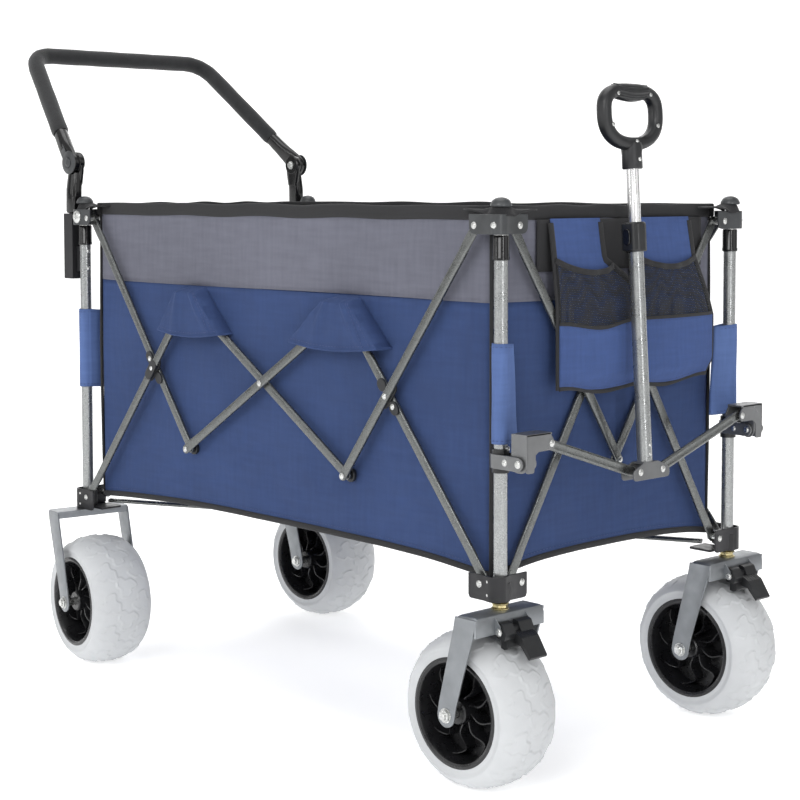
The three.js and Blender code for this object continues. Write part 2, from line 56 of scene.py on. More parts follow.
# ---- driving dimensions -----------------------------------------------------
POST_X = 460
POST_Y = 234.5
POST_R = 8.75
TRAIL = 34
REAR_AXLE_SHIFT = 39
WHEEL_R = 101.6
TYRE_HALF = 52.5
RIM_R = 67.6
RIM_HALF = 46.7
hub_lo, hub_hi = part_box("front_right_tyre")
hub_x = (hub_lo.x + hub_hi.x) / 2
hub_y = (hub_lo.y + hub_hi.y) / 2
SHIFT = Vector((hub_x - (POST_X - TRAIL) * MM, hub_y + POST_Y * MM, 0))

BRACKET_Z = 243
BRACKET_H = 32
TOP_BRACKET_Z = 700
TOP_BRACKET_H = 25
WING = 39
SLEEVE_Z = (668, 699)
INNER_TUBE_Z = 556
CAP_Z = 735
CAP_R = 13.5
CAP_H = 11

# Scissor bars: the layers are the planes they turn in, and the pairs are their pivots' places.
BAR_W = 13
BAR_T = 6.5
LONG_LAYERS = {"inner": POST_Y + 3.5, "outer": POST_Y + 11}
SHORT_LAYERS = {"inner": POST_X - 13, "outer": POST_X - 5.5}
LONG_PLATE = POST_Y + 15
SHORT_PLATE = POST_X + 7
WING_T = 2.5
LONG_TOP = (430, 711)
LONG_BOTTOM = (440, 263)
LONG_LOW = (177, 368)
LONG_HIGH = (175, 592)
SHORT_TOP = (210, 711)
SHORT_BOTTOM = (205, 264)
SHORT_LOW = (0, 396)
SHORT_HIGH = (0, 600)

FLOOR_PIVOT = (432, 208, 254)
FLOOR_BAR_LENGTH = 356
WEB_Z = 262

TUB_X = 437
TUB_Y = 224.5
TUB_FLOOR = 283
BAND_Z = 613
BINDING_Z = 717
TUB_TOP = 735
RIM_Z = 726
RIM_OVERLAP = 9
TAB_Z = (440, 565)
CLOTH = 1.4

# Forks
FORK_HALF = 62
REAR_RIGHT_TURN = math.radians(-8)
FORK_DEPTH = 35
FORK_TOP = 232
FORK_CHANNEL_H = 25
REAR_FORK_TOP = BRACKET_Z - 0.3
BRAKE_PIN_Z = 211

# Pull handle: (x, z) of the swing pin, and (y, z) of the V arms' two ends.
SWING = (500, 419)
CLAMP_HALF = 13
ARM_TOP = (197, 442)
ARM_LOW = (23, 386)
ARM_OFFSET = 4.3
YOKE_HALF = 37
YOKE_Z = (375, 398)
UPPER_TUBE_FOOT = 476
HANDLE_LEAN = math.radians(-3.6)
COLLAR_Z = (674, 713)
GRIP_FOOT = 790
GRIP_MIDDLE = 855

# Push handle: the top crossbar's (x, z), half its length and its corner radius.
PUSH_X = -492
KNUCKLE_Z = 800
KNUCKLE_R = 17
PUSH_TOP = (-700, 987)
PUSH_TOP_HALF = 180
PUSH_CORNER = 40
CHANNEL_Z = (613, 718)

CORNERS = {
    "front_right": (1, -1),
    "front_left": (1, 1),
    "rear_right": (-1, -1),
    "rear_left": (-1, 1),
}
SIDES = (("right", -1), ("left", 1))
ENDS = (("front", 1), ("rear", -1))


# ---- shader nodes -----------------------------------------------------------
class Shader:
    """One material's node tree, with short calls for the nodes that the finishes share."""

    def __init__(self, name, color, roughness, **sockets):
        self.material = bpy.data.materials.new(name)
        self.material.use_nodes = True
        self.tree = self.material.node_tree
        self.shader = self.tree.nodes["Principled BSDF"]
        self.shader.inputs["Base Color"].default_value = (*color, 1)
        self.shader.inputs["Roughness"].default_value = roughness
        for socket, value in sockets.items():
            self.shader.inputs[socket.replace("_", " ")].default_value = value
        self.coords = self.node("TexCoord").outputs["Object"]

    def node(self, kind, **values):
        made = self.tree.nodes.new("ShaderNode" + kind)
        for key, value in values.items():
            if key in made.inputs:
                made.inputs[key].default_value = value
            else:
                setattr(made, key, value)
        return made

    def link(self, source, target):
        self.tree.links.new(source, target)

    def stretched(self, scale):
        mapping = self.node("Mapping")
        mapping.inputs["Scale"].default_value = scale
        self.link(self.coords, mapping.inputs["Vector"])
        return mapping.outputs["Vector"]

    def noise(self, scale, detail=4.0, stretch=(1, 1, 1)):
        texture = self.node("TexNoise", Scale=scale, Detail=detail)
        self.link(self.stretched(stretch), texture.inputs["Vector"])
        return texture.outputs["Fac"]

    def voronoi(self, scale, feature="F1"):
        texture = self.node("TexVoronoi", feature=feature, Scale=scale)
        self.link(self.coords, texture.inputs["Vector"])
        return texture.outputs["Distance"]

    def wave(self, axis, pitch, distortion=0.0):
        texture = self.node("TexWave", bands_direction=axis, Distortion=distortion)
        texture.inputs["Scale"].default_value = math.pi / (10 * pitch * MM)
        self.link(self.coords, texture.inputs["Vector"])
        return texture.outputs["Fac"]

    def upright_threads(self, pitch):
        """Upright threads on a wall that faces either along or across the cart."""
        return self.math("MAXIMUM", self.wave("X", pitch), self.wave("Y", pitch))

    def math(self, operation, a, b):
        made = self.node("Math", operation=operation)
        for index, value in enumerate((a, b)):
            if isinstance(value, (int, float)):
                made.inputs[index].default_value = value
            else:
                self.link(value, made.inputs[index])
        return made.outputs["Value"]

    def ramp(self, source, low, high, places=(0.35, 0.65)):
        made = self.node("ValToRGB")
        made.color_ramp.elements[0].position = places[0]
        made.color_ramp.elements[1].position = places[1]
        made.color_ramp.elements[0].color = low
        made.color_ramp.elements[1].color = high
        self.link(source, made.inputs["Fac"])
        return made.outputs["Color"]

    def tint(self, source, low, high, places=(0.35, 0.65)):
        self.link(self.ramp(source, (*low, 1), (*high, 1), places), self.shader.inputs["Base Color"])

    def gloss(self, source, low, high, places=(0.3, 0.7)):
        grey = self.ramp(source, (low,) * 3 + (1,), (high,) * 3 + (1,), places)
        self.link(grey, self.shader.inputs["Roughness"])

    def bump(self, source, depth, strength=1.0, under=None):
        made = self.node("Bump", Strength=strength, Distance=depth * MM)
        self.link(source, made.inputs["Height"])
        if under is not None:
            self.link(under, made.inputs["Normal"])
        self.link(made.outputs["Normal"], self.shader.inputs["Normal"])
        return made.outputs["Normal"]


def shade(color, factor):
    return tuple(min(1.0, c * factor) for c in color)


def hammertone(name, color, roughness=0.36, dimples=420):
    """Hammered lacquer on steel: shallow dimples with darker rims."""
    s = Shader(name, color, roughness, Metallic=0.85)
    cells = s.voronoi(dimples)
    s.tint(cells, shade(color, 1.12), shade(color, 0.8), (0.1, 0.75))
    s.gloss(s.noise(60), roughness - 0.08, roughness + 0.12)
    s.bump(s.noise(700, 2.0), 0.02, under=s.bump(cells, 0.07))
    return s.material


def painted(name, color, roughness, metallic=0.6, grain=900, edge_highlight=0.55):
    """Satin paint on pressed steel, with a painted highlight: its convex edges are painted lighter."""
    s = Shader(name, color, roughness, Metallic=metallic)
    # Painted highlight: the colour lightens along convex edges (pointiness), broken up a little by noise.
    edge = s.node("NewGeometry").outputs["Pointiness"]
    edge_highlight_mask = s.math("ADD", edge, s.math("MULTIPLY", s.noise(40), 0.08))
    s.tint(edge_highlight_mask, color, shade(color, 1 + edge_highlight), (0.55, 0.64))
    s.gloss(s.noise(90), roughness - 0.07, roughness + 0.1)
    s.bump(s.noise(grain, 3.0), 0.04)
    return s.material


def moulded(name, color, roughness, grain=1400, depth=0.03):
    """Moulded plastic with a fine spark-eroded grain."""
    s = Shader(name, color, roughness)
    s.tint(s.noise(35), shade(color, 0.8), shade(color, 1.3))
    s.gloss(s.noise(120), max(0.05, roughness - 0.08), roughness + 0.1)
    s.bump(s.noise(grain, 2.0), depth)
    return s.material


def plated(name, color, roughness):
    """Zinc or brass plate, a little cloudy."""
    s = Shader(name, color, roughness, Metallic=1.0)
    s.tint(s.noise(260), shade(color, 0.78), shade(color, 1.1))
    s.gloss(s.noise(420), roughness - 0.08, roughness + 0.14)
    s.bump(s.noise(1100, 2.0), 0.02)
    return s.material


def brushed(name, color, roughness):
    """Drawn aluminium tube with fine lines along it."""
    s = Shader(name, color, roughness, Metallic=0.95)
    s.gloss(s.noise(500, 3.0, (1, 1, 0.03)), roughness - 0.1, roughness + 0.12)
    s.tint(s.noise(24), shade(color, 0.9), shade(color, 1.06))
    s.bump(s.noise(900, 2.0, (1, 1, 0.02)), 0.015)
    return s.material


def woven(name, color, pitch=1.1, depth=0.16, fade=0.14):
    """Plain-weave polyester canvas: two crossing thread directions, slubs and a soft fade."""
    s = Shader(name, color, 0.86, Sheen_Weight=0.25, Sheen_Roughness=0.5)
    s.shader.inputs["Sheen Tint"].default_value = (*shade(color, 2.4), 1)
    s.shader.inputs["Specular IOR Level"].default_value = 0.28
    cells = s.math("MULTIPLY", s.upright_threads(pitch), s.wave("Z", pitch))
    slub = s.math("ADD", s.noise(160, 2.0, (0.12, 0.12, 1)), s.noise(160, 2.0, (1, 1, 0.12)))
    cloudy = s.math("ADD", s.math("MULTIPLY", slub, 0.3), s.math("MULTIPLY", s.noise(5.0, 3.0), 0.5))
    mixed = s.math("ADD", cloudy, s.math("MULTIPLY", cells, 0.1))
    s.tint(mixed, shade(color, 1 - fade), shade(color, 1 + fade), (0.45, 0.75))
    s.gloss(cells, 0.8, 0.95)
    s.bump(slub, 0.25, 0.4, s.bump(cells, depth, 0.8))
    return s.material


def webbing(name, color, pitch=1.8):
    """Ribbed binding tape with a stitched look."""
    s = Shader(name, color, 0.88, Sheen_Weight=0.06)
    rough = s.math("ADD", s.upright_threads(pitch), s.math("MULTIPLY", s.noise(300), 0.6))
    s.tint(rough, shade(color, 0.6), shade(color, 1.5), (0.3, 1.2))
    s.bump(rough, 0.2, 0.8)
    return s.material


def netting(name, color, pitch=2.2):
    """Open knitted net, with small holes between the threads."""
    s = Shader(name, color, 0.75)
    holes = s.math("MULTIPLY", s.upright_threads(pitch), s.wave("Z", pitch))
    open_part = s.math("MULTIPLY", s.math("GREATER_THAN", holes, 0.24), 0.9)
    s.link(s.math("SUBTRACT", 1.0, open_part), s.shader.inputs["Alpha"])
    s.bump(holes, 0.2, 0.6)
    return s.material


def rubber(name, color):
    """Soft vinyl of a balloon tyre, cloudy and faintly dusty."""
    s = Shader(name, color, 0.52)
    s.shader.inputs["Specular IOR Level"].default_value = 0.4
    clouds = s.math("ADD", s.noise(9.0, 4.0), s.math("MULTIPLY", s.noise(70), 0.25))
    s.tint(clouds, shade(color, 0.93), shade(color, 1.04), (0.5, 0.75))
    s.gloss(s.noise(50), 0.42, 0.62)
    s.bump(s.noise(900, 2.0), 0.03)
    return s.material


def foam(name, color):
    """Closed-cell foam sleeve with a fine pored skin."""
    s = Shader(name, color, 0.88, Sheen_Weight=0.2)
    pores = s.math("ADD", s.voronoi(900), s.noise(400, 3.0))
    s.tint(s.noise(80), shade(color, 0.75), shade(color, 1.35))
    s.bump(pores, 0.25, 0.8)
    return s.material


def linear(*srgb):
    return tuple(((c / 255 + 0.055) / 1.055) ** 2.4 for c in srgb)


FRAME = hammertone("hammertone_frame", linear(112, 114, 113), 0.26, 520)
# The posts' hammertone is a lighter copy of the frame's: partly the posts' own slightly lighter tone,
# partly painted highlight for the bright streaks on them.
POST = hammertone("hammertone_post", linear(162, 164, 164), 0.28, 520)
STEEL = painted("satin_fork_steel", linear(124, 127, 130), 0.36, 0.8)
DARK_STEEL = painted("dark_bracket_steel", linear(104, 105, 106), 0.34, 0.75)
# The black bracket's last argument makes its painted edge highlight strong.
BLACK_METAL = painted("black_bracket", linear(24, 24, 26), 0.36, 0.3, 700, 1.2)
PLASTIC = moulded("black_moulding", linear(22, 23, 25), 0.38)
GLOSSY = moulded("glossy_black", linear(12, 12, 13), 0.14, 500, 0.01)
CHARCOAL = moulded("charcoal_moulding", linear(50, 52, 54), 0.36)
RIM = moulded("rim_moulding", linear(22, 22, 24), 0.3, 900, 0.03)
ZINC = plated("zinc_plate", linear(205, 206, 204), 0.26)
BRASS = plated("yellow_zinc", linear(196, 184, 140), 0.3)
BRIGHT = brushed("satin_tube", linear(238, 238, 238), 0.24)
FOAM = foam("foam_sleeve", linear(24, 25, 27))
TYRE = rubber("tyre_vinyl", linear(190, 192, 194))
BLUE = woven("blue_canvas", linear(47, 64, 103))
POUCH_BLUE = woven("pouch_canvas", linear(58, 77, 123))
TAB_BLUE = woven("tab_canvas", linear(78, 99, 146))
GREY = woven("grey_canvas", linear(97, 98, 109))
LINING = woven("lining_canvas", linear(48, 62, 102))
BINDING = webbing("black_binding", linear(24, 24, 26))
NET = netting("pocket_net", linear(32, 33, 37))
STITCH = webbing("stitching", linear(46, 58, 96), 1.2)


# ---- mesh helpers -----------------------------------------------------------
def to_frame(p):
    return Vector(p) * MM + SHIFT


def build(name, shells, material, body, replaces=(), bevel=0, segments=2, angle=38, sub=0):
    """One piece from a list of (points, faces) shells, riding on a body."""
    points = []
    faces = []
    for shell_points, shell_faces in shells:
        offset = len(points)
        points += [to_frame(p) for p in shell_points]
        faces += [[i + offset for i in face] for face in shell_faces]
    mesh = bpy.data.meshes.new(name)
    mesh.from_pydata(points, [], faces)
    mesh.validate()
    mesh.shade_smooth()
    mesh.set_sharp_from_angle(angle=math.radians(angle))
    mesh.materials.append(material)
    piece = bpy.data.objects.new(name, mesh)
    bpy.context.scene.collection.objects.link(piece)
    if bevel:
        edge = piece.modifiers.new("edges", "BEVEL")
        edge.width = bevel * MM
        edge.segments = segments
        edge.limit_method = "ANGLE"
        edge.angle_limit = math.radians(40)
        edge.harden_normals = True
    if sub:
        piece.modifiers.new("smooth", "SUBSURF").levels = sub
        piece.modifiers["smooth"].render_levels = sub
    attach(piece, body)
    if replaces:
        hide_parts(*replaces)
    return piece


def turned(shell):
    """The same shell with its faces pointing the other way."""
    points, faces = shell
    return points, [face[::-1] for face in faces]


def outward(shell):
    """Turns a closed shell so that its faces point out."""
    points, faces = shell
    volume = 0
    for face in faces:
        a = Vector(points[face[0]])
        for i in range(1, len(face) - 1):
            volume += a.dot(Vector(points[face[i]]).cross(Vector(points[face[i + 1]])))
    return turned(shell) if volume < 0 else shell


def moved(shell, offset):
    points, faces = shell
    return [tuple(a + b for a, b in zip(p, offset)) for p in points], faces


def rotated(shell, plane, centre, angle):
    """Turns a shell about a centre in one plane, such as "xy" from x towards y."""
    first, second = ["xyz".index(axis) for axis in plane]
    c, s = math.cos(angle), math.sin(angle)
    points, faces = shell
    made = []
    for p in points:
        u, v = p[first] - centre[0], p[second] - centre[1]
        q = list(p)
        q[first] = u * c - v * s + centre[0]
        q[second] = u * s + v * c + centre[1]
        made.append(tuple(q))
    return made, faces


def grid_faces(rows, columns, wrap_rows=False, wrap_columns=False):
    faces = []
    for i in range(rows if wrap_rows else rows - 1):
        for j in range(columns if wrap_columns else columns - 1):
            a = i * columns
            b = (i + 1) % rows * columns
            k = (j + 1) % columns
            faces.append([a + j, a + k, b + k, b + j])
    return faces


def loft(rings, closed=False):
    """A skin over rings of equally many points, with flat ends unless it closes on itself."""
    columns = len(rings[0])
    points = [tuple(p) for ring in rings for p in ring]
    faces = grid_faces(len(rings), columns, closed, True)
    if not closed:
        faces.append(list(range(columns))[::-1])
        faces.append([(len(rings) - 1) * columns + j for j in range(columns)])
    return outward((points, faces))


def superellipse(turn, half_width, half_height, power):
    """The curve's point at one turn: power 2 is an ellipse, and more is squarer."""
    c, s = math.cos(turn), math.sin(turn)
    return (half_width * math.copysign(abs(c) ** (2 / power), c),
            half_height * math.copysign(abs(s) ** (2 / power), s))


def oval(width, thick, count=20, power=2.0):
    return [superellipse(2 * math.pi * i / count, width / 2, thick / 2, power) for i in range(count)]


def sweep(path, section, normal, closed=False):
    """section(i) gives (side, normal) points at the path's point i."""
    path = [Vector(p) for p in path]
    normal = Vector(normal).normalized()
    rings = []
    last = len(path) - 1
    for i, p in enumerate(path):
        before = path[i - 1] if i > 0 or closed else p
        after = path[(i + 1) % len(path)] if i < last or closed else p
        tangent = (after - before).normalized()
        side = normal.cross(tangent).normalized()
        up = tangent.cross(side)
        points = section(i) if callable(section) else section
        rings.append([p + side * u + up * v for u, v in points])
    return loft(rings, closed)


def lathe(profile, centre, axis, count=40):
    """Turns (radius, along) points about an axis; the profile starts and ends on it, or closes."""
    spin = {"x": (1, 2, 0), "y": (2, 0, 1), "z": (0, 1, 2)}[axis]
    closed = profile[0][0] > 0.001
    rings = []
    for radius, along in profile:
        ring = []
        for i in range(count):
            t = 2 * math.pi * i / count
            p = [0, 0, 0]
            p[spin[0]] = max(radius, 0.001) * math.cos(t)
            p[spin[1]] = max(radius, 0.001) * math.sin(t)
            p[spin[2]] = along
            ring.append([a + b for a, b in zip(p, centre)])
        rings.append(ring)
    return loft(rings, closed)


def rod(start, end, radius, count=24, chamfer=0.6):
    """A straight round bar along one axis, its ends slightly broken."""
    gaps = [abs(a - b) for a, b in zip(start, end)]
    axis = "xyz"[gaps.index(max(gaps))]
    i = "xyz".index(axis)
    a, b = sorted((start[i], end[i]))
    centre = list(start)
    centre[i] = 0
    profile = [(0, a), (radius - chamfer, a), (radius, a + chamfer),
               (radius, b - chamfer), (radius - chamfer, b), (0, b)]
    return lathe(profile, centre, axis, count)


def block(x0, x1, y0, y1, z0, z1):
    xs, ys, zs = sorted((x0, x1)), sorted((y0, y1)), sorted((z0, z1))
    bottom = [(xs[0], ys[0]), (xs[1], ys[0]), (xs[1], ys[1]), (xs[0], ys[1])]
    return loft([[(x, y, z) for x, y in bottom] for z in zs])


def plate(outline, place, low, high):
    """A flat outline between two offsets; place(u, v, w) puts it in the cart."""
    return loft([[place(u, v, w) for u, v in outline] for w in (low, high)])


def on_top(u, v, w):
    return (u, v, w)


def on_side(u, v, w):
    return (u, w, v)


def on_end(u, v, w):
    return (w, u, v)


def rounded(corners, count=6):
    """A closed outline from (x, y, radius) corners."""
    made = []
    for i, (x, y, radius) in enumerate(corners):
        here = Vector((x, y))
        a = (Vector(corners[i - 1][:2]) - here).normalized()
        b = (Vector(corners[(i + 1) % len(corners)][:2]) - here).normalized()
        if radius <= 0:
            made.append(tuple(here))
            continue
        half = a.angle(b) / 2
        reach = radius / math.tan(half)
        for k in range(count + 1):
            t = k / count
            p = here + a * reach * (1 - t) ** 2 + b * reach * t ** 2
            made.append(tuple(p))
    return made


def stadium(start, end, width, count=8):
    """Two half circles joined by straight sides."""
    a, b = Vector(start), Vector(end)
    turn = math.atan2(b.y - a.y, b.x - a.x)
    made = []
    for centre, base in ((b, turn - math.pi / 2), (a, turn + math.pi / 2)):
        for k in range(count + 1):
            t = base + math.pi * k / count
            made.append((centre.x + width / 2 * math.cos(t), centre.y + width / 2 * math.sin(t)))
    return made


def rivet(centre, axis, way, radius=3.4, height=2.0):
    """A domed head on a thin flange, seated at centre and pointing along way (+1 or -1)."""
    profile = [(0, -1.0), (radius * 1.25, -1.0), (radius * 1.25, 0.35), (radius, 0.6)]
    for k in range(1, 6):
        t = k / 6 * math.pi / 2
        profile.append((radius * math.cos(t), 0.6 + (height - 0.6) * math.sin(t)))
    profile.append((0, height))
    return lathe([(r, way * a) for r, a in profile], centre, axis, 18)


def rivets(name, items, body):
    build(name, [rivet(*item) for item in items], ZINC, body, angle=50)


def turned_ring(profile, x, y, count=32):
    return lathe(profile, (x, y, 0), "z", count)


def hexagon(centre, axis, way, radius=8.5, height=5.5):
    """A hexagon bolt head with a chamfered top on a round washer."""
    rim = radius * 1.12
    washer = lathe([(0, 0), (rim, 0), (rim, way * 1.4), (0, way * 1.4)], centre, axis, 32)
    head = lathe([(0, 0), (radius, 0), (radius, way * (height - 1.2)), (radius * 0.84, way * height),
                  (0, way * height)], centre, axis, 6)
    return [washer, head]


def crossing(a, b, c, d):
    """Where the line a-b meets the line c-d."""
    (x1, y1), (x2, y2), (x3, y3), (x4, y4) = a, b, c, d
    bottom = (x1 - x2) * (y3 - y4) - (y1 - y2) * (x3 - x4)
    p = x1 * y2 - y1 * x2
    q = x3 * y4 - y3 * x4
    return ((p * (x3 - x4) - (x1 - x2) * q) / bottom, (p * (y3 - y4) - (y1 - y2) * q) / bottom)


def smooth(t):
    t = max(0.0, min(1.0, t))
    return t * t * (3 - 2 * t)


def mix(a, b, t):
    return a + (b - a) * t


def shares(steps):
    """Evenly spread shares of a run, from 0 to 1."""
    return [k / (steps - 1) for k in range(steps)]


def step_out(plan, i, reach):
    """A step to the left of an open plan line at its point i."""
    before = Vector(plan[max(0, i - 1)])
    after = Vector(plan[min(len(plan) - 1, i + 1)])
    way = (after - before).normalized()
    return Vector((-way.y, way.x)) * reach


# ---- corner posts -----------------------------------------------------------
def corner_strap(sx, sy, z0, z1, rounding):
    """Folded strap round a post: two wings along the sides and a bulge over the post between them."""
    outer = (SHORT_PLATE + WING_T / 2, LONG_PLATE + WING_T / 2)
    plan = [(POST_X - WING, outer[1]), (POST_X - WING + 2, outer[1]), (POST_X - WING + 5, outer[1]),
            (POST_X - WING + rounding, outer[1]), (POST_X - 12, outer[1])]
    for k in range(9):
        t = math.radians(100 - 110 * k / 8)
        plan.append((POST_X - 0.5 + 13 * math.cos(t), POST_Y + 5 + 13.5 * math.sin(t)))
    plan += [(outer[0], POST_Y - 6), (outer[0], POST_Y - WING + rounding),
             (outer[0], POST_Y - WING + 5), (outer[0], POST_Y - WING + 2), (outer[0], POST_Y - WING)]
    half = len(plan) // 2
    rings = []
    for i, (x, y) in enumerate(plan):
        out = step_out(plan, i, WING_T / 2)
        from_end = min((Vector(plan[0 if i < half else -1]) - Vector((x, y))).length, rounding)
        cut = rounding - math.sqrt(max(0, rounding ** 2 - (rounding - from_end) ** 2))
        low = z0 + cut
        ring = [(x + out.x, y + out.y, low), (x + out.x, y + out.y, z1),
                (x - out.x, y - out.y, z1), (x - out.x, y - out.y, low)]
        rings.append([(sx * a, sy * b, c) for a, b, c in ring])
    return loft(rings)


def corner_block(sx, sy, z0, z1):
    outline = rounded([(POST_X - 11, POST_Y - 11, 3), (SHORT_PLATE, POST_Y - 11, 1),
                       (SHORT_PLATE, LONG_PLATE, 8), (POST_X - 11, LONG_PLATE, 1)])
    return plate([(sx * x, sy * y) for x, y in outline], on_top, z0, z1)


def bracket_rivets(sx, sy, z, long_x, short_y):
    long_face = sy * (LONG_PLATE + WING_T)
    short_face = sx * (SHORT_PLATE + WING_T)
    return [
        ((sx * long_x, long_face, z), "y", sy, 3.6),
        ((short_face, sy * short_y, z), "x", sx, 3.6),
    ]


def pivot_pins(body, sx, sy, long_pivot, short_pivot, low):
    """The two pins that carry a bracket's scissor bars."""
    long_layer = LONG_LAYERS["inner" if (sx > 0) == low else "outer"] + BAR_T / 2
    short_layer = SHORT_LAYERS["inner" if (sy < 0) == low else "outer"] + BAR_T / 2
    u, z = long_pivot
    pins = [rod((sx * u, sy * (long_layer - 8), z), (sx * u, sy * (LONG_PLATE + 1), z), 4.6, 20)]
    u, z = short_pivot
    pins.append(rod((sx * (short_layer - 8), sy * u, z), (sx * (SHORT_PLATE + 1), sy * u, z), 4.6, 20))
    build(f"{body}_pivot_pins", pins, ZINC, body)


def post(corner, sx, sy):
    x, y = sx * POST_X, sy * POST_Y
    slider = f"{corner}_slider"
    low, high = SLEEVE_Z
    build(f"{corner}_post_tube", [rod((x, y, BRACKET_Z + 1), (x, y, low + 2), POST_R, 40)],
          POST, corner, [f"{corner}_post"])
    sleeve = turned_ring([(7.6, low), (10.2, low), (10.9, low + 1), (10.9, low + 4), (10.4, low + 5),
                          (10.4, high - 1.4), (9.6, high), (7.6, high)], x, y, 40)
    build(f"{corner}_sleeve", [sleeve], GLOSSY, corner, angle=30)
    build(f"{corner}_inner_tube", [rod((x, y, INNER_TUBE_Z), (x, y, CAP_Z), 7.2, 32)], BRIGHT, slider)
    collar = turned_ring([(7.3, high - 5), (9.3, high - 5), (9.3, high + 0.6), (7.3, high + 0.6)], x, y)
    build(f"{corner}_bright_ring", [collar], ZINC, slider)
    z1 = TOP_BRACKET_Z + TOP_BRACKET_H
    build(f"{corner}_top_bracket",
          [corner_strap(sx, sy, TOP_BRACKET_Z, z1, 9), corner_block(sx, sy, TOP_BRACKET_Z, z1 - 1)],
          CHARCOAL, slider, [f"{corner}_post_slider"], bevel=0.8)
    cap = [(0, CAP_Z - 1), (CAP_R - 1.5, CAP_Z - 1), (CAP_R, CAP_Z), (CAP_R, CAP_Z + 2.4)]
    for k in range(1, 9):
        t = k / 8 * math.pi / 2
        cap.append(((CAP_R - 1) * math.cos(t), CAP_Z + 3 + (CAP_H - 3) * math.sin(t)))
    build(f"{corner}_cap", [turned_ring(cap, x, y, 40)], CHARCOAL, slider, angle=30)
    heads = bracket_rivets(sx, sy, LONG_TOP[1], LONG_TOP[0], SHORT_TOP[0])
    if sx > 0:
        heads.append(((x + 3.5, sy * (LONG_PLATE + WING_T + 0.6), 711.5), "y", sy, 3.8))
    rivets(f"{corner}_top_rivets", heads, slider)
    pivot_pins(slider, sx, sy, LONG_TOP, SHORT_TOP, False)
    pivot_pins(corner, sx, sy, LONG_BOTTOM, SHORT_BOTTOM, True)
    boss = rod((x, y, BRACKET_Z - 1), (x, y, 266), 12.5, 32)
    inner_x, inner_y = sx * (POST_X - WING), sy * (POST_Y - WING)
    lug = rounded([(inner_x, inner_y, 6), (x, inner_y, 1), (x, y, 1), (inner_x, y, 1)])
    lug = plate(lug, on_top, BRACKET_Z, BRACKET_Z + 3)
    build(f"{corner}_bottom_bracket",
          [corner_strap(sx, sy, BRACKET_Z, BRACKET_Z + BRACKET_H, 5),
           corner_block(sx, sy, BRACKET_Z, BRACKET_Z + BRACKET_H - 4), lug, boss],
          BLACK_METAL, corner, bevel=0.7)
    heads = bracket_rivets(sx, sy, LONG_BOTTOM[1], LONG_BOTTOM[0], SHORT_BOTTOM[0])
    heads += [((x - sx * 4, sy * (LONG_PLATE + WING_T), z), "y", sy, 3.0) for z in (251, 268)]
    rivets(f"{corner}_bottom_rivets", heads, corner)


for corner, (sx, sy) in CORNERS.items():
    post(corner, sx, sy)


# ---- scissor bars -----------------------------------------------------------
LONG_BARS = {
    "rear_top": ((-LONG_TOP[0], LONG_TOP[1]), (-LONG_LOW[0], LONG_LOW[1]), "inner"),
    "rear_bottom": ((-LONG_BOTTOM[0], LONG_BOTTOM[1]), (-LONG_HIGH[0], LONG_HIGH[1]), "outer"),
    "middle_falling": ((-LONG_HIGH[0], LONG_HIGH[1]), LONG_LOW, "inner"),
    "middle_rising": ((-LONG_LOW[0], LONG_LOW[1]), LONG_HIGH, "outer"),
    "front_bottom": (LONG_BOTTOM, LONG_HIGH, "inner"),
    "front_top": (LONG_TOP, LONG_LOW, "outer"),
}
SHORT_BARS = {
    "right_top": ((-SHORT_TOP[0], SHORT_TOP[1]), SHORT_LOW, "outer"),
    "right_bottom": ((-SHORT_BOTTOM[0], SHORT_BOTTOM[1]), SHORT_HIGH, "inner"),
    "left_bottom": (SHORT_BOTTOM, SHORT_HIGH, "outer"),
    "left_top": (SHORT_TOP, SHORT_LOW, "inner"),
}
FLAT_T = 3.2
JOGGLE = (26, 44)     # the pressed-flat end runs this far from its pivot, then swells to the full tube


def stations_along(length, radius, between):
    """Places along a bar with half-round ends, close together where it rounds off."""
    ends = [radius * (1 - math.cos(k / 6 * math.pi / 2)) for k in range(7)]
    first = [e - radius + 0.05 for e in ends]
    return first + between + [length - s for s in reversed(first)]


def width_at(s, length, radius):
    past = max(-s, s - length, 0)
    return 2 * math.sqrt(max(radius ** 2 - past ** 2, 0.01))


def bar_shell(start, end, place, layer, way):
    """A flat-oval tube with round ends, pressed flat beside the pivot at its start."""
    a, b = Vector(start), Vector(end)
    length = (b - a).length
    along = (b - a) / length
    side = Vector((-along.y, along.x))
    radius = BAR_W / 2
    between = [JOGGLE[0], 30, 34, 38, JOGGLE[1], length - 24, length - 12]
    rings = []
    for s in stations_along(length, radius, between):
        swell = smooth((s - JOGGLE[0]) / (JOGGLE[1] - JOGGLE[0]))
        tail = smooth((length - s - 4) / 16)
        thick = mix(FLAT_T, BAR_T - 0.2, swell) * mix(0.72, 1, tail)
        width = width_at(s, length, radius) * mix(1.06, 1, swell)
        offset = layer + way * mix(1.3, 0, swell)
        middle = a + along * s
        ring = []
        for u, v in oval(width, thick, 24, mix(5.0, 3.6, swell)):
            p = middle + side * u
            ring.append(place(p.x, p.y, offset + v))
        rings.append(ring)
    return loft(rings)


def scissor(face, way, bars, layers, place):
    for name, (start, end, layer) in bars.items():
        node = f"{face}_bar_{name}"
        tube = bar_shell(start, end, place, way * layers[layer], way)
        build(f"{node}_tube", [tube], FRAME, node, [node], angle=50)


for face, way in SIDES:
    scissor(face, way, LONG_BARS, LONG_LAYERS, on_side)
for face, way in ENDS:
    scissor(face, way, SHORT_BARS, SHORT_LAYERS, on_end)


def bars_cross(bars, a, b):
    return crossing(*bars[a][:2], *bars[b][:2])


def toward(a, b, distance):
    a, b = Vector(a), Vector(b)
    return a + (b - a).normalized() * distance


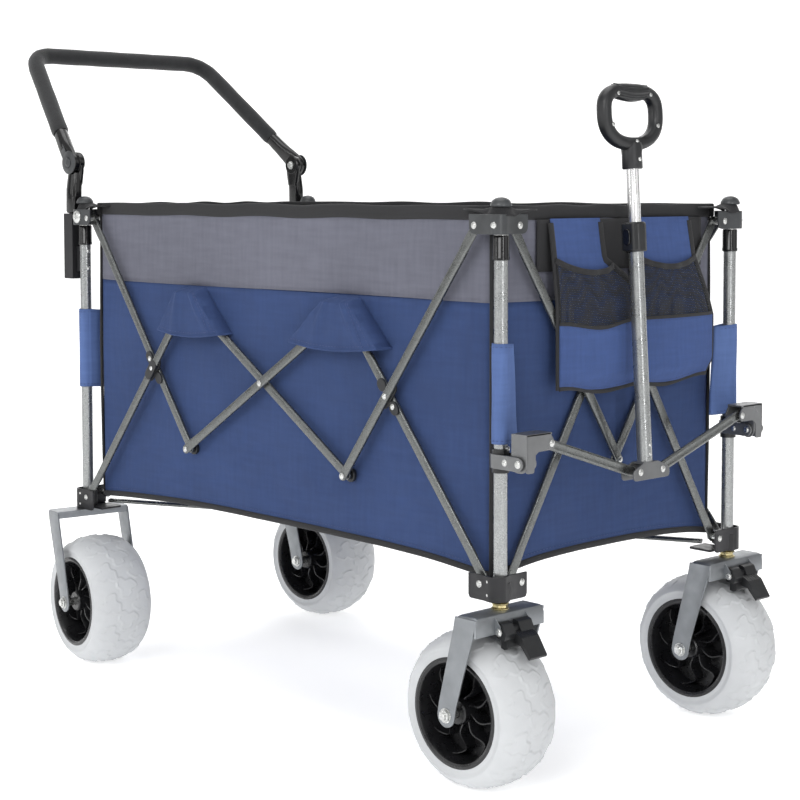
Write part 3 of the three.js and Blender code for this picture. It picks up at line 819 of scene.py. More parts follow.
def clip(sy, centre, outer_bar, inner_bar):
    """Black plastic saddle where two bars slide past each other, with a tab on the inner bar."""
    face = LONG_LAYERS["outer"] + BAR_T / 2
    inner_face = LONG_LAYERS["inner"] + 2.9
    between = (LONG_LAYERS["inner"] + LONG_LAYERS["outer"]) / 2

    def saddle(start, end, wider, low, high):
        return plate(stadium(start, end, BAR_W + wider), on_side, sy * low, sy * high)

    def on_outer(distance):
        return toward(centre, LONG_BARS[outer_bar][1], distance)

    tab = toward(centre, LONG_BARS[inner_bar][0], 17)
    far = toward(centre, LONG_BARS[inner_bar][0], -16)
    out = (tab - Vector(centre)).normalized()
    pieces = [
        saddle(on_outer(-15), on_outer(11), 5, between - 0.4, between + 2.2),
        saddle(tab, tab + out * 5, 2, inner_face, face - 4.6),
        saddle(far, far - out * 4, 2, inner_face, face - 4.9),
    ]
    if outer_bar == "rear_bottom":
        pieces.append(saddle(on_outer(-13), on_outer(6), 3, face - 5, face + 0.5))
    heads = [((x, sy * y, z), "y", sy, 3.2) for x, y, z in
             ((centre[0], face, centre[1]), (tab.x, face - 4.6, tab.y))]
    return pieces, heads


LONG_CLIPS = (("rear_bottom", "rear_top"), ("front_top", "front_bottom"))
LOW_PINS = (("middle_rising", -LONG_LOW[0]), ("front_top", LONG_LOW[0]))
HIGH_PINS = (("rear_bottom", -LONG_HIGH[0]), ("middle_rising", LONG_HIGH[0]))
SHORT_CROSSES = (("right_top", "right_bottom"), ("left_bottom", "left_top"))


for side, sy in SIDES:
    face = sy * (LONG_LAYERS["outer"] + BAR_T / 2)
    for number, (outer_bar, inner_bar) in enumerate(LONG_CLIPS):
        centre = bars_cross(LONG_BARS, outer_bar, inner_bar)
        pieces, heads = clip(sy, centre, outer_bar, inner_bar)
        body = f"{side}_bar_{outer_bar}"
        build(f"{side}_clip_{number}", pieces, PLASTIC, body, bevel=0.7)
        rivets(f"{side}_clip_rivets_{number}", heads, body)
    x, z = bars_cross(LONG_BARS, "middle_rising", "middle_falling")
    rivets(f"{side}_middle_rivet", [((x, face, z), "y", sy, 3.4)], f"{side}_bar_middle_rising")
    for number, (bar, x) in enumerate(LOW_PINS):
        body = f"{side}_bar_{bar}"
        rivets(f"{side}_low_rivet_{number}", [((x, face, LONG_LOW[1]), "y", sy, 3.6)], body)
        inner = sy * (LONG_LAYERS["inner"] - BAR_T / 2)
        washer = lathe([(0, inner), (8.6, inner), (9.6, inner - sy), (9.6, inner - sy * 5),
                        (8, inner - sy * 6), (0, inner - sy * 6)], (x, 0, LONG_LOW[1]), "y", 28)
        build(f"{side}_low_spacer_{number}", [outward(washer)], PLASTIC, body)
    for number, (bar, x) in enumerate(HIGH_PINS):
        heads = [((x, face, LONG_HIGH[1]), "y", sy, 3.4, 1.4)]
        rivets(f"{side}_high_rivet_{number}", heads, f"{side}_bar_{bar}")

for end_name, sx in ENDS:
    face = sx * (SHORT_LAYERS["outer"] + BAR_T / 2)
    bar = f"{end_name}_bar_"
    for number, (outer_bar, inner_bar) in enumerate(SHORT_CROSSES):
        y, z = bars_cross(SHORT_BARS, outer_bar, inner_bar)
        rivets(f"{end_name}_cross_rivet_{number}", [((face, y, z), "x", sx, 3.2)], bar + outer_bar)
    rivets(f"{end_name}_low_rivet", [((face, *SHORT_LOW), "x", sx, 3.4, 1.0)], bar + "right_top")
    rivets(f"{end_name}_high_rivet", [((face, *SHORT_HIGH), "x", sx, 3.2, 1.4)], bar + "left_bottom")


# ---- floor bars and their centre web ----------------------------------------
AZIMUTH = math.atan2(FLOOR_PIVOT[1], FLOOR_PIVOT[0])

for corner, (sx, sy) in CORNERS.items():
    way = Vector((-sx * math.cos(AZIMUTH), -sy * math.sin(AZIMUTH), 0))
    start = Vector((sx * FLOOR_PIVOT[0], sy * FLOOR_PIVOT[1], FLOOR_PIVOT[2]))
    stations = [-3, -2, 0, 20, 34, FLOOR_BAR_LENGTH - 20, FLOOR_BAR_LENGTH - 3, FLOOR_BAR_LENGTH]
    tube = sweep([start + way * s for s in stations], oval(14, 6, 20, 3), (0, 0, 1))
    body = f"{corner}_floor_bar"
    build(f"{corner}_floor_tube", [tube], FRAME, body, [body])
    tip = start + way * (FLOOR_BAR_LENGTH - 9) + Vector((0, 0, 3))
    rivets(f"{corner}_floor_rivet", [(tuple(tip), "z", 1, 3, 1.2)], body)

reach = math.hypot(*FLOOR_PIVOT[:2]) - FLOOR_BAR_LENGTH + 20    # the straps overlap the bars
web = []
for turn in (1, -1):
    way = Vector((math.cos(AZIMUTH), turn * math.sin(AZIMUTH), 0))
    middle = Vector((0, 0, WEB_Z + 0.4 * turn))
    run = [way * (reach * s) + middle for s in (-1, -0.98, -0.5, 0, 0.5, 0.98, 1)]
    web.append(sweep(run, oval(24, 2, 16, 5), (0, 0, 1)))
web.append(turned_ring([(0, WEB_Z - 2), (29, WEB_Z - 2), (30, WEB_Z - 1), (30, WEB_Z + 3), (28, WEB_Z + 4),
                        (0, WEB_Z + 4)], 0, 0, 40))
build("floor_cross_web", web, BINDING, "floor_web", ["floor_web"])


# ---- wheels -----------------------------------------------------------------
TREAD_ROWS = ((-27, 0.0), (0, 0.5), (27, 0.0))
TREAD_COUNT = 12
TREAD_HEIGHT = 1.9
RIB_COUNT = 9


def leaf(angle):
    """Outline radius of one raised leaf of the tread, for a bearing in radians."""
    lobes = abs(math.cos(1.5 * angle + 0.5)) ** 1.6
    return 10.5 + 8.5 * lobes + 1.3 * math.cos(6 * angle)


def tread(turn, along):
    """Height of the raised leaves at one place on the tyre."""
    best = 0
    for row, (centre, phase) in enumerate(TREAD_ROWS):
        step = 2 * math.pi / TREAD_COUNT
        local = (turn / step + phase) % 1 - 0.5
        u = local * step * WHEEL_R
        v = along - centre
        lean = 0.5 if row % 2 else -0.4
        bearing = math.atan2(v, u) + lean
        distance = leaf(bearing) - math.hypot(u, v)
        rim_line = math.exp(-((distance - 0.7) / 0.9) ** 2)
        best = max(best, 0.42 * smooth(distance / 0.9) + 0.58 * rim_line)
    return best * TREAD_HEIGHT


def tyre_profile(count=92):
    """(radius, along, share of the tread's height) round the balloon section, bead to bead."""
    made = []
    bead = RIM_R + 1.2
    crown = WHEEL_R - TREAD_HEIGHT
    for k in range(count + 1):
        t = math.pi * (k / count)
        along = -math.cos(t)
        round_out = math.sin(t) ** 0.88
        radius = bead + (crown - bead) * round_out
        width = TYRE_HALF * math.copysign(abs(along) ** 0.9, along)
        if abs(along) > 0.93:
            width *= 1 - 0.09 * smooth((abs(along) - 0.93) / 0.07)
        made.append((radius, width, smooth((round_out - 0.45) / 0.3)))
    return made


def wheel_meshes():
    """Tyre and rim around the origin, in millimetres, shared by the four wheels."""
    around = 420
    rings = []
    profile = tyre_profile()
    for i in range(around):
        turn = 2 * math.pi * i / around
        ring = []
        for radius, along, share in profile:
            r = radius + share * tread(turn, along)
            ring.append((r * math.cos(turn), along, r * math.sin(turn)))
        for radius, along in ((RIM_R + 0.6, RIM_HALF - 3), (RIM_R + 0.6, 3 - RIM_HALF)):
            ring.append((radius * math.cos(turn), along, radius * math.sin(turn)))
        rings.append(ring)
    tyre = loft(rings, True)
    lip = [(RIM_R - 5.5, 3 - RIM_HALF), (RIM_R - 4, -RIM_HALF - 0.5), (RIM_R - 1, -RIM_HALF - 2),
           (RIM_R + 2.5, -RIM_HALF - 1.4), (RIM_R + 3.2, 0.6 - RIM_HALF), (RIM_R, 4 - RIM_HALF)]
    far_lip = [(radius, -along) for radius, along in reversed(lip)]
    barrel = lathe(lip + far_lip + [(RIM_R - 7, 14), (RIM_R - 7, -14)], (0, 0, 0), "y", 96)
    web = lathe([(0, -9), (RIM_R - 6, -12), (RIM_R - 6, 12), (0, 9)], (0, 0, 0), "y", 64)
    hub = lathe([(6.6, -44), (14, -44), (15.5, -42), (18, -9), (18, 9), (15.5, 42), (14, 44), (6.6, 44)],
                (0, 0, 0), "y", 48)
    ribs = [rib(2 * math.pi * i / RIB_COUNT, face) for face in (-1, 1) for i in range(RIB_COUNT)]
    return tyre, [barrel, web, hub] + ribs


def rib(start, face):
    """One S-curved rib from the hub out to the rim barrel."""
    rings = []
    steps = 14
    for k in range(steps + 1):
        s = k / steps
        radius = mix(15, RIM_R - 6, s)
        turn = start + face * (0.5 * s + 0.2 * math.sin(2 * math.pi * s))
        top = mix(34, 24, smooth(s)) + 7 * smooth((s - 0.75) / 0.25)
        out = Vector((math.cos(turn), 0, math.sin(turn)))
        side = Vector((-math.sin(turn), 0, math.cos(turn)))
        ring = []
        for u, y in ((-2.0, 8), (-1.6, top - 1.4), (-0.9, top), (0.9, top), (1.6, top - 1.4), (2.0, 8)):
            ring.append(tuple(out * radius + side * u + Vector((0, face * y, 0))))
        rings.append(ring)
    return loft(rings)


def on_post(shell, corner):
    """The near rear fork and its wheel stand a few degrees turned about their post."""
    if corner != "rear_right":
        return shell
    return rotated(shell, "xy", (-POST_X, -POST_Y), REAR_RIGHT_TURN)


def wheel_centre(sx, sy):
    x = sx * POST_X - TRAIL if sx > 0 else REAR_AXLE_SHIFT - POST_X
    return (x, sy * POST_Y, WHEEL_R)


def wheel(corner, sx, sy, roll, tyre, rim):
    body = f"{corner}_wheel"
    centre = wheel_centre(sx, sy)

    def mounted(shell):
        return on_post(moved(rotated(shell, "xz", (0, 0), roll), centre), corner)

    build(f"{corner}_balloon_tyre", [mounted(tyre)], TYRE, body, [f"{corner}_tyre"], angle=60)
    build(f"{corner}_ribbed_rim", [mounted(shell) for shell in rim], RIM, body, [f"{corner}_rim"],
          angle=32)


tyre_shell, rim_shells = wheel_meshes()
for number, (corner, (sx, sy)) in enumerate(CORNERS.items()):
    wheel(corner, sx, sy, 0.7 * number, tyre_shell, rim_shells)


# ---- forks ------------------------------------------------------------------
def fork_leg(x, top, hub_x, y, thick=3):
    """Tapered strap from the crossbar down to a round end at the axle, with a slight outward bow."""
    rings = []
    half_top = FORK_DEPTH / 2 + 0.5
    foot = 15
    levels = [top - 2.6, top - 4, top - 8, top - 20, mix(top, WHEEL_R, 0.5), WHEEL_R + 14, WHEEL_R]
    levels += [WHEEL_R - foot * math.sin(k / 7 * math.pi / 2) for k in range(1, 8)]
    for z in levels:
        down = min(1, (top - z) / (top - WHEEL_R))
        share = 0.6 * down + 0.4 * smooth(down)
        middle = mix(x, hub_x, share)
        half = mix(half_top, foot, share)
        if z < WHEEL_R:
            half = max(0.4, math.sqrt(max(0, foot ** 2 - (WHEEL_R - z) ** 2)))
        edge = min(1.0, half * 0.4)
        ring = [(-half, -0.5), (-half + edge, -0.7), (half - edge, -0.7), (half, -0.5),
                (half, 0.5), (half - edge, 0.7), (-half + edge, 0.7), (-half, 0.5)]
        rings.append([(middle + u, y + v * thick / 1.4, z) for u, v in ring])
    return loft(rings)


def channel(x, y, top, height, thick=3):
    """Bent-sheet crossbar open underneath: a top, two side flanges and round bends to the legs."""
    half = FORK_DEPTH / 2
    rings = []
    ends = [(-FORK_HALF, -6), (-FORK_HALF + 1, -3), (-FORK_HALF + 3, -1), (-FORK_HALF + 7, 0)]
    for along, drop in ends + [(-a, d) for a, d in reversed(ends)]:
        z = top + drop
        low = top - height
        outer = [(-half, low), (-half, z - 5), (1.5 - half, z - 1.5), (5 - half, z)]
        outer += [(-u, v) for u, v in reversed(outer)]
        inner = [(half - thick, low), (half - thick, z - 7), (half - 6, z - thick)]
        inner += [(-u, v) for u, v in reversed(inner)]
        rings.append([(x + u, y + along, v) for u, v in outer + inner])
    return loft(rings)


def fork(corner, sx, sy):
    x, y = sx * POST_X, sy * POST_Y
    front = sx > 0
    body = f"{corner}_caster" if front else corner
    hub_x, _, _ = wheel_centre(sx, sy)
    top = FORK_TOP if front else REAR_FORK_TOP
    leg_y = FORK_HALF - 1.0
    shells = [fork_leg(x, top, hub_x, y + way * leg_y) for way in (-1, 1)]
    if front:
        shells.append(channel(x, y, FORK_TOP, FORK_CHANNEL_H))
    else:
        half = FORK_DEPTH / 2
        strip = rounded([(x - half, y - FORK_HALF, 3), (x + half, y - FORK_HALF, 3),
                         (x + half, y + FORK_HALF, 3), (x - half, y + FORK_HALF, 3)])
        shells.append(plate(strip, on_top, top - 4, top))
        for way in (-1, 1):
            lip = [(x + way * (half - 1.2), y + e, top - 6) for e in (2 - FORK_HALF, FORK_HALF - 2)]
            shells.append(sweep(lip, oval(2.4, 10, 12, 5), (0, 0, 1)))
    build(f"{corner}_fork_frame", [on_post(shell, corner) for shell in shells], STEEL, body,
          [f"{corner}_fork"], bevel=0.7)
    end = FORK_HALF + 1
    axle = [rod((hub_x, y - end, WHEEL_R), (hub_x, y + end, WHEEL_R), 6, 24)]
    for way in (-1, 1):
        axle += hexagon((hub_x, y + way * FORK_HALF, WHEEL_R), "y", way)
        axle.append(lathe([(0, 0), (5, 0), (5, way * 3.4), (0, way * 3.8)],
                          (hub_x, y + way * (FORK_HALF + 4), WHEEL_R), "y", 20))
    build(f"{corner}_axle_bolt", [on_post(outward(a), corner) for a in axle], ZINC, body, bevel=0.3)
    if front:
        build(f"{corner}_kingpin", [rod((x, y, FORK_TOP - 1), (x, y, 258), 6, 24)], ZINC, body)
        nuts = [lathe([(0, z), (r, z), (r + 0.8, z + 0.7), (r + 0.8, z + h - 0.7), (r, z + h), (0, z + h)],
                      (x, y, 0), "z", sides) for z, r, h, sides in
                ((FORK_TOP, 10.5, 2.2, 32), (FORK_TOP + 2.2, 9.2, 4.4, 6), (FORK_TOP + 6.6, 10.2, 2.0, 32),
                 (FORK_TOP + 8.6, 8.4, 1.8, 6))]
        build(f"{corner}_swivel_nuts", nuts, BRASS, body, angle=30)


for corner, (sx, sy) in CORNERS.items():
    fork(corner, sx, sy)


# ---- foot brakes ------------------------------------------------------------
def brake(corner, sy):
    y = sy * POST_Y
    face = POST_X + FORK_DEPTH / 2
    body = f"{corner}_brake"
    pin_x, pin_z = face + 6.5, BRAKE_PIN_Z

    def profile(points, low, high):
        return plate(rounded(points), lambda u, v, w: (face + u, y + w, v), low, high)

    upper = [(1.0, 203, 2), (14, 200, 3), (17, 209, 3), (11, 221, 4), (2.5, 223, 2)]
    pad = [(8, 201, 2), (13, 211, 3), (26, 204, 4), (41, 181, 1.6), (39, 177.5, 1.4), (24, 194, 3),
           (9, 197, 1.5)]
    shoe = [(3.2, 209, 1), (14, 208, 1), (15, 190, 3), (9, 188, 2), (3, 189.5, 1.5)]
    shells = [profile(upper, -26, -8), profile(upper, 2, 26), profile(pad, -8, 23), profile(shoe, -20, 20)]
    shells.append(rod((pin_x, y - 25, pin_z), (pin_x, y + 25, pin_z), 6, 24))
    ridge = [(15.5, 209.4, 0.5), (17.5, 209.0, 0.5), (27.2, 203.4, 0.5), (26, 202.0, 0.5)]
    shells += [profile(ridge, 5.6 * k - 4, 5.6 * k - 2) for k in range(5)]
    build(f"{corner}_brake_lever", shells, PLASTIC, body, [f"{corner}_brake_pedal"],
          bevel=0.8)
    build(f"{corner}_brake_pin", [rod((pin_x, y - 29, pin_z), (pin_x, y + 29, pin_z), 3, 20)], ZINC, body)
    heads = [((pin_x, y + way * 28, pin_z), "y", way, 4.2, 2.4) for way in (-1, 1)]
    heads.append(((face + 13.2, y - 14, pin_z), "x", 1, 2.6, 2))
    rivets(f"{corner}_brake_heads", heads, body)
    ears = []
    for way in (-1, 1):
        ear = rounded([(0, 207.5, 1), (9, 208, 4), (10, 218, 4), (0, 229, 1)])
        ears.append(plate(ear, lambda u, v, w: (face - 0.5 + u, y + w, v), way * 26.8, way * 28.4))
    build(f"{corner}_brake_ears", ears, STEEL, f"{corner}_caster", bevel=0.4)


for corner in ("front_right", "front_left"):
    brake(corner, CORNERS[corner][1])


# ---- pull handle ------------------------------------------------------------
def swing_clamp(side, sy):
    """Strap that grips the front post, with two riveted cheeks reaching forward to the swing pin."""
    x, y, z = POST_X, sy * POST_Y, SWING[1]
    corner = f"front_{side}"
    plan = [(SWING[0] - 3, -CLAMP_HALF + 1.5), (x + 8, -CLAMP_HALF + 1.5), (x, -CLAMP_HALF + 1.5)]
    for k in range(1, 8):
        t = math.radians(-90 - 180 * k / 8)
        plan.append((x + 11.5 * math.cos(t), 11.5 * math.sin(t)))
    plan += [(x, CLAMP_HALF - 1.5), (x + 8, CLAMP_HALF - 1.5), (SWING[0] - 3, CLAMP_HALF - 1.5)]
    rings = []
    for i, (u, v) in enumerate(plan):
        out = step_out(plan, i, 1.5)
        rings.append([(u + a * out.x, y + v + a * out.y, z + b)
                      for a, b in ((1, -9), (1, 9), (-1, 9), (-1, -9))])
    cheek = stadium((SWING[0] - 9, z), SWING, 17.6)
    ends = [plate(cheek, on_side, y + w * (CLAMP_HALF - 2.9), y + w * (CLAMP_HALF + 0.2)) for w in (-1, 1)]
    build(f"{corner}_swing_clamp", [loft(rings)] + ends, DARK_STEEL, corner, bevel=0.6)
    liner = turned_ring([(9, z - 15), (11, z - 15), (11, z + 15), (9, z + 15)], x, y)
    build(f"{corner}_clamp_liner", [liner], PLASTIC, corner)
    heads = [((u, y + w * CLAMP_HALF, z), "y", w, radius)
             for w in (-1, 1) for u, radius in ((x + 19, 3.4), (SWING[0] + 1, 3.8))]
    heads.append(((x + 9.5, y - sy * 3, z + 15), "x", 1, 2.8))
    rivets(f"{corner}_clamp_rivets", heads, corner)


def side_bracket(side, sy):
    """Folded sheet from the swing pin in to the top of the V arm."""
    body = f"pull_bracket_{side}"
    x0, x1 = SWING[0] - 13.5, SWING[0] + 12
    y_post = sy * POST_Y
    roof = 456
    thick = 2.5
    cheek = rounded([(x0, roof, 1.5), (x1, roof, 1.5), (x1, 407.7, 11), (x0, 407.7, 11)])
    tongue = plate(cheek, on_side, y_post + sy * 6.6, y_post + sy * 9)
    inner = stadium(SWING, (SWING[0], SWING[1] + 12), 22)
    inner_cheek = plate(inner, on_side, y_post - sy * 9, y_post - sy * 6.6)
    top = plate(rounded([(x0, 0, 2), (x1, 0, 2), (x1, 47, 1), (x0, 47, 1)]),
                lambda u, v, w: (u, sy * (196 + v), w), roof - 2.6, roof - 0.2)
    outline = rounded([(9, roof, 2), (51.2, roof, 0.6), (51.2, 408, 3), (38, 408, 3), (37, 429, 6),
                       (30, 433.5, 4), (3, 434, 4), (0, 443, 4)])
    flaps = [plate([(sy * (191 + u), v) for u, v in outline], on_end, x, x + t)
             for x, t in ((x0, thick), (x1, -thick))]
    pin = rod((SWING[0], y_post - 9, SWING[1]), (SWING[0], y_post + 9, SWING[1]), 5, 20)
    build(f"{body}_plate", [tongue, inner_cheek, top, pin] + flaps, DARK_STEEL, body, [body],
          bevel=0.7)
    y, z = sy * ARM_TOP[0], ARM_TOP[1]
    heads = [((x1, y, z), "x", 1, 3.6), ((x0, y, z), "x", -1, 3.2)]
    rivets(f"{body}_rivets", heads, body)
    if sy > 0:
        knob = lathe([(0, 0), (6.4, 0), (7, 1), (7, 4), (5.6, 6), (2, 6.6), (0, 6.4)],
                     (SWING[0], y_post + CLAMP_HALF + 1.4, SWING[1]), "y", 32)
        build(f"{body}_pin_cap", [outward(knob)], PLASTIC, f"front_{side}")


def v_arm(side, sy):
    """Flat-oval arm with a pressed groove along its front face."""
    body = f"pull_arm_{side}"
    start, end = Vector((sy * ARM_TOP[0], ARM_TOP[1])), Vector((sy * ARM_LOW[0], ARM_LOW[1]))
    length = (end - start).length
    along = (end - start) / length
    side_way = Vector((-along.y, along.x))
    radius = 7
    rings = []
    for s in stations_along(length, radius, [12, 18, length - 18, length - 12]):
        groove = 1.8 * smooth((s - 12) / 6) * smooth((length - 12 - s) / 6)
        middle = start + along * s
        ring = []
        for u, v in oval(width_at(s, length, radius), 5, 24, 3.4):
            p = middle + side_way * u
            dent = groove * math.exp(-(u / 1.7) ** 2)
            ring.append((SWING[0] + sy * ARM_OFFSET + v - math.copysign(dent, v), p.x, p.y))
        rings.append(ring)
    build(f"{body}_tube", [loft(rings)], FRAME, body, [body], angle=50)


def leaned(shell):
    """Tips a shell drawn upright about the yoke by the handle's lean."""
    return rotated(shell, "zx", (ARM_LOW[1], SWING[0]), HANDLE_LEAN)


def lower_tube():
    body = "pull_tube_lower"
    x = SWING[0]
    foot, head = YOKE_Z
    shoulder = head - 10
    outline = rounded([(-YOKE_HALF, foot, 7), (YOKE_HALF, foot, 7), (YOKE_HALF, shoulder, 6),
                       (14, head, 4), (-14, head, 4), (-YOKE_HALF, shoulder, 6)])
    plates = [plate(outline, on_end, x + way * 8.7, x + way * 11.2) for way in (-1, 1)]
    plates.append(block(x - 11, x + 11, -13, 13, head - 2.5, head))
    build("pull_yoke", [leaned(p) for p in plates], DARK_STEEL, body, [body], bevel=0.7)
    low, high = COLLAR_Z
    # The lower tube shares the posts' lighter hammertone, painted highlight included.
    build("pull_lower_tube", [leaned(rod((x, 0, head - 2), (x, 0, low + 4), 10, 40))], POST, body)
    collar = turned_ring([(8.4, low + 1), (13, low), (14.4, low + 1.4), (14.4, high - 3), (13.6, high - 1),
                          (12.4, high), (8.4, high)], x, 0, 44)
    housing = rounded([(x - 10.5, -16.8, 4), (x + 10.5, -16.8, 4), (x + 12.5, 0, 2), (x - 12.5, 0, 2)])
    housing = plate(housing, on_top, low + 2, high - 2)
    build("pull_collar", [leaned(collar), leaned(housing)], PLASTIC, body, bevel=0.6)
    heads = [((x + face * 11.2, way * ARM_LOW[0], ARM_LOW[1]), "x", face, radius)
             for face, radius in ((1, 3.8), (-1, 3.4)) for way in (-1, 1)]
    heads += [((x + 9.8, 0, z), "x", 1, 2.0, 1.2) for z in (408, 420)]
    build("pull_yoke_rivets", [leaned(rivet(*h)) for h in heads], ZINC, body, angle=50)
    button = plate(stadium((x, low + 14.5), (x, high - 14.5), 11.5), on_side, -19.4, -13.5)
    build("pull_button_cap", [leaned(button)], GLOSSY, "pull_lock_button", ["pull_lock_button"],
          bevel=1.2)


def grip_loop(x):
    """The D-shaped loop of the grip, squarer above its middle than below."""
    count = 72
    middle = []
    for i in range(count):
        turn = 2 * math.pi * i / count
        rise, power = (31.5, 3.1) if math.sin(turn) > 0 else (39, 2.4)
        u, v = superellipse(turn, 52.5, rise, power)
        middle.append(Vector((u, GRIP_MIDDLE + v)))
    rings = []
    for i, here in enumerate(middle):
        way = (middle[(i + 1) % count] - middle[i - 1]).normalized()
        out = Vector((way.y, -way.x))
        rings.append([(x + b, here.x + out.x * a, here.y + out.y * a) for a, b in oval(17.5, 20, 24, 2.3)])
    return loft(rings, True)


def grip_bar(x):
    """The ribbed swell along the top of the loop, where the hand holds it."""
    half = 31
    bar_z = 885.5
    rings = []
    for k in range(25):
        y = half * (k / 12 - 1)
        crown = math.cos(math.pi * y / 66)
        ring = []
        for i in range(72):
            t = 2 * math.pi * i / 72
            radius = 9.3 + 1.6 * crown + 0.45 * math.cos(12 * t)
            ring.append((x + radius * math.cos(t) * 1.08, y, bar_z - 3.2 * crown + radius * math.sin(t)))
        rings.append(ring)
    return loft(rings)


def upper_tube():
    body = "pull_tube_upper"
    x = SWING[0]
    build("pull_upper_tube", [leaned(rod((x, 0, UPPER_TUBE_FOOT), (x, 0, GRIP_FOOT), 8.6, 40))], BRIGHT,
          body, [body])
    neck = turned_ring([(7.9, 783), (12.8, 783), (13.6, 784.4), (13.4, 802), (14.4, 811), (13, 817),
                        (0, 818)], x, 0, 40)
    build("pull_neck_sleeve", [leaned(neck)], PLASTIC, body)
    build("pull_grip_ring", [leaned(grip_loop(x)), leaned(grip_bar(x))], PLASTIC, body,
          bevel=0.9, angle=50)
    screws = []
    for way in (-1, 1):
        for y, z in ((way * 33, 881), (way * 46, 840)):
            screws.append(leaned(rivet((x + 9.4, y, z), "x", 1, 2.3, 0.9)))
    for z, out in ((795, 13), (818, 10.5)):
        screws.append(leaned(rivet((x + out, 0, z), "x", 1, 2.4, 1.6)))
    build("pull_grip_screws", screws, ZINC, body, angle=50)


for side, sy in SIDES:
    swing_clamp(side, sy)
    side_bracket(side, sy)
    v_arm(side, sy)
lower_tube()
upper_tube()


# ---- push handle ------------------------------------------------------------
def push_seat(side, sy):
    """Rectangular socket behind the rear post that takes the push handle's leg."""
    corner = f"rear_{side}"
    y = sy * POST_Y
    back = PUSH_X + 12.5    # the face against the post; the leg's own side lies behind it
    front = PUSH_X - 12
    low, high = CHANNEL_Z
    outer = [(back, -12), (front, -12), (front, 12), (back, 12)]
    inner = [(back - 2.3, -9.7), (front + 2.3, -9.7), (front + 2.3, 9.7), (back - 2.3, 9.7)]
    if sy < 0:
        rings = [[(u, y + v, z) for u, v in ring]
                 for ring, z in ((outer, low), (outer, high), (inner, high), (inner, low))]
        shells = [loft(rings, True)]
    else:
        outline = outer[:2] + [(front, -9.7), (back - 2.3, -9.7), (back - 2.3, 12), (back, 12)]
        shells = [plate([(u, y + v) for u, v in outline], on_top, low, high)]
    shells.append(block(-POST_X - 4, back + 1, y - 5, y + 5, 625, 665))
    build(f"{corner}_push_seat", shells, BLACK_METAL, corner, bevel=0.6)
    heads = [((-POST_X + POST_R - 0.4, y, z), "x", 1, 3.2, 2.4) for z in (630, 658)]
    rivets(f"{corner}_seat_rivets", heads, corner)
    screw = (-POST_X + 5, sy * (LONG_PLATE + WING_T - 0.4), 713)
    head = [(0, 0), (10, 0), (10, 2.2), (8, 4.2), (3.6, 4.8), (2.6, 3), (0, 3)]
    head = lathe([(radius, sy * along) for radius, along in head], screw, "y", 36)
    build(f"{corner}_thumb_screw", [head], ZINC, f"{corner}_slider")


def knuckle_disc(profile, sy, y, count):
    """A turned part on the knuckle's axis, its profile measured out from y on either side."""
    points, faces = lathe(profile, (0, 0, 0), "y", count)
    return outward(([(p[0] + PUSH_X, sy * (p[1] + y), p[2] + KNUCKLE_Z) for p in points], faces))


def push_leg(side, sy):
    body = "push_legs"
    node = f"push_leg_{side}"
    y = sy * POST_Y
    rings = []
    seat_top = CHANNEL_Z[1]
    for z, width in ((622, 14), (624, 16), (seat_top + 0.6, 16), (seat_top + 1, 23), (seat_top + 4, 26),
                     (757, 26), (772, 25), (784, 23)):
        shift = sy * mix(0, -3, smooth((z - 745) / 40))
        rings.append([(PUSH_X + u, y + shift + v, z) for u, v in oval(width, width * 0.76, 28, 3.0)])
    disc = knuckle_disc([(0, -12), (KNUCKLE_R - 1.5, -12), (KNUCKLE_R, -10.5), (KNUCKLE_R, -3),
                         (KNUCKLE_R - 0.6, -2), (0, -2)], sy, POST_Y, 44)
    throat = [[(PUSH_X + u, y - sy * 7 + v, z) for u, v in oval(width, 9.8, 24, 3)]
              for z, width in ((764, 22), (774, 27), (786, 32), (797, 33.6))]
    build(f"{node}_casting", [loft(rings), disc, loft(throat)], GLOSSY, body, [node],
          bevel=0.6)
    nut = hexagon((PUSH_X, y - sy * 12, KNUCKLE_Z), "y", -sy, 6.5, 4.6)
    build(f"{node}_nut", [outward(n) for n in nut], ZINC, body)


def push_path(reach_from):
    """The U of the push handle, from one knuckle round to the other, and the way its left arm runs."""
    foot = Vector((PUSH_X, POST_Y + 3.5, KNUCKLE_Z))
    top = Vector((PUSH_TOP[0], PUSH_TOP_HALF, PUSH_TOP[1]))
    length = (top - foot).length
    way = (top - foot) / length
    turn = top - way * PUSH_CORNER
    level = top - Vector((0, PUSH_CORNER, 0))
    half = [foot + way * mix(reach_from, length - PUSH_CORNER, k / 6) for k in range(7)]
    for k in range(1, 11):
        t = k / 10
        half.append(turn * (1 - t) ** 2 + top * 2 * t * (1 - t) + level * t * t)
    half += [Vector((top.x, level.y * (1 - k / 6), top.z)) for k in range(1, 6)]
    other = [tuple(p) for p in half]
    near = [(x, -y, z) for x, y, z in other]
    return near + [(top.x, 0, top.z)] + other[::-1], way


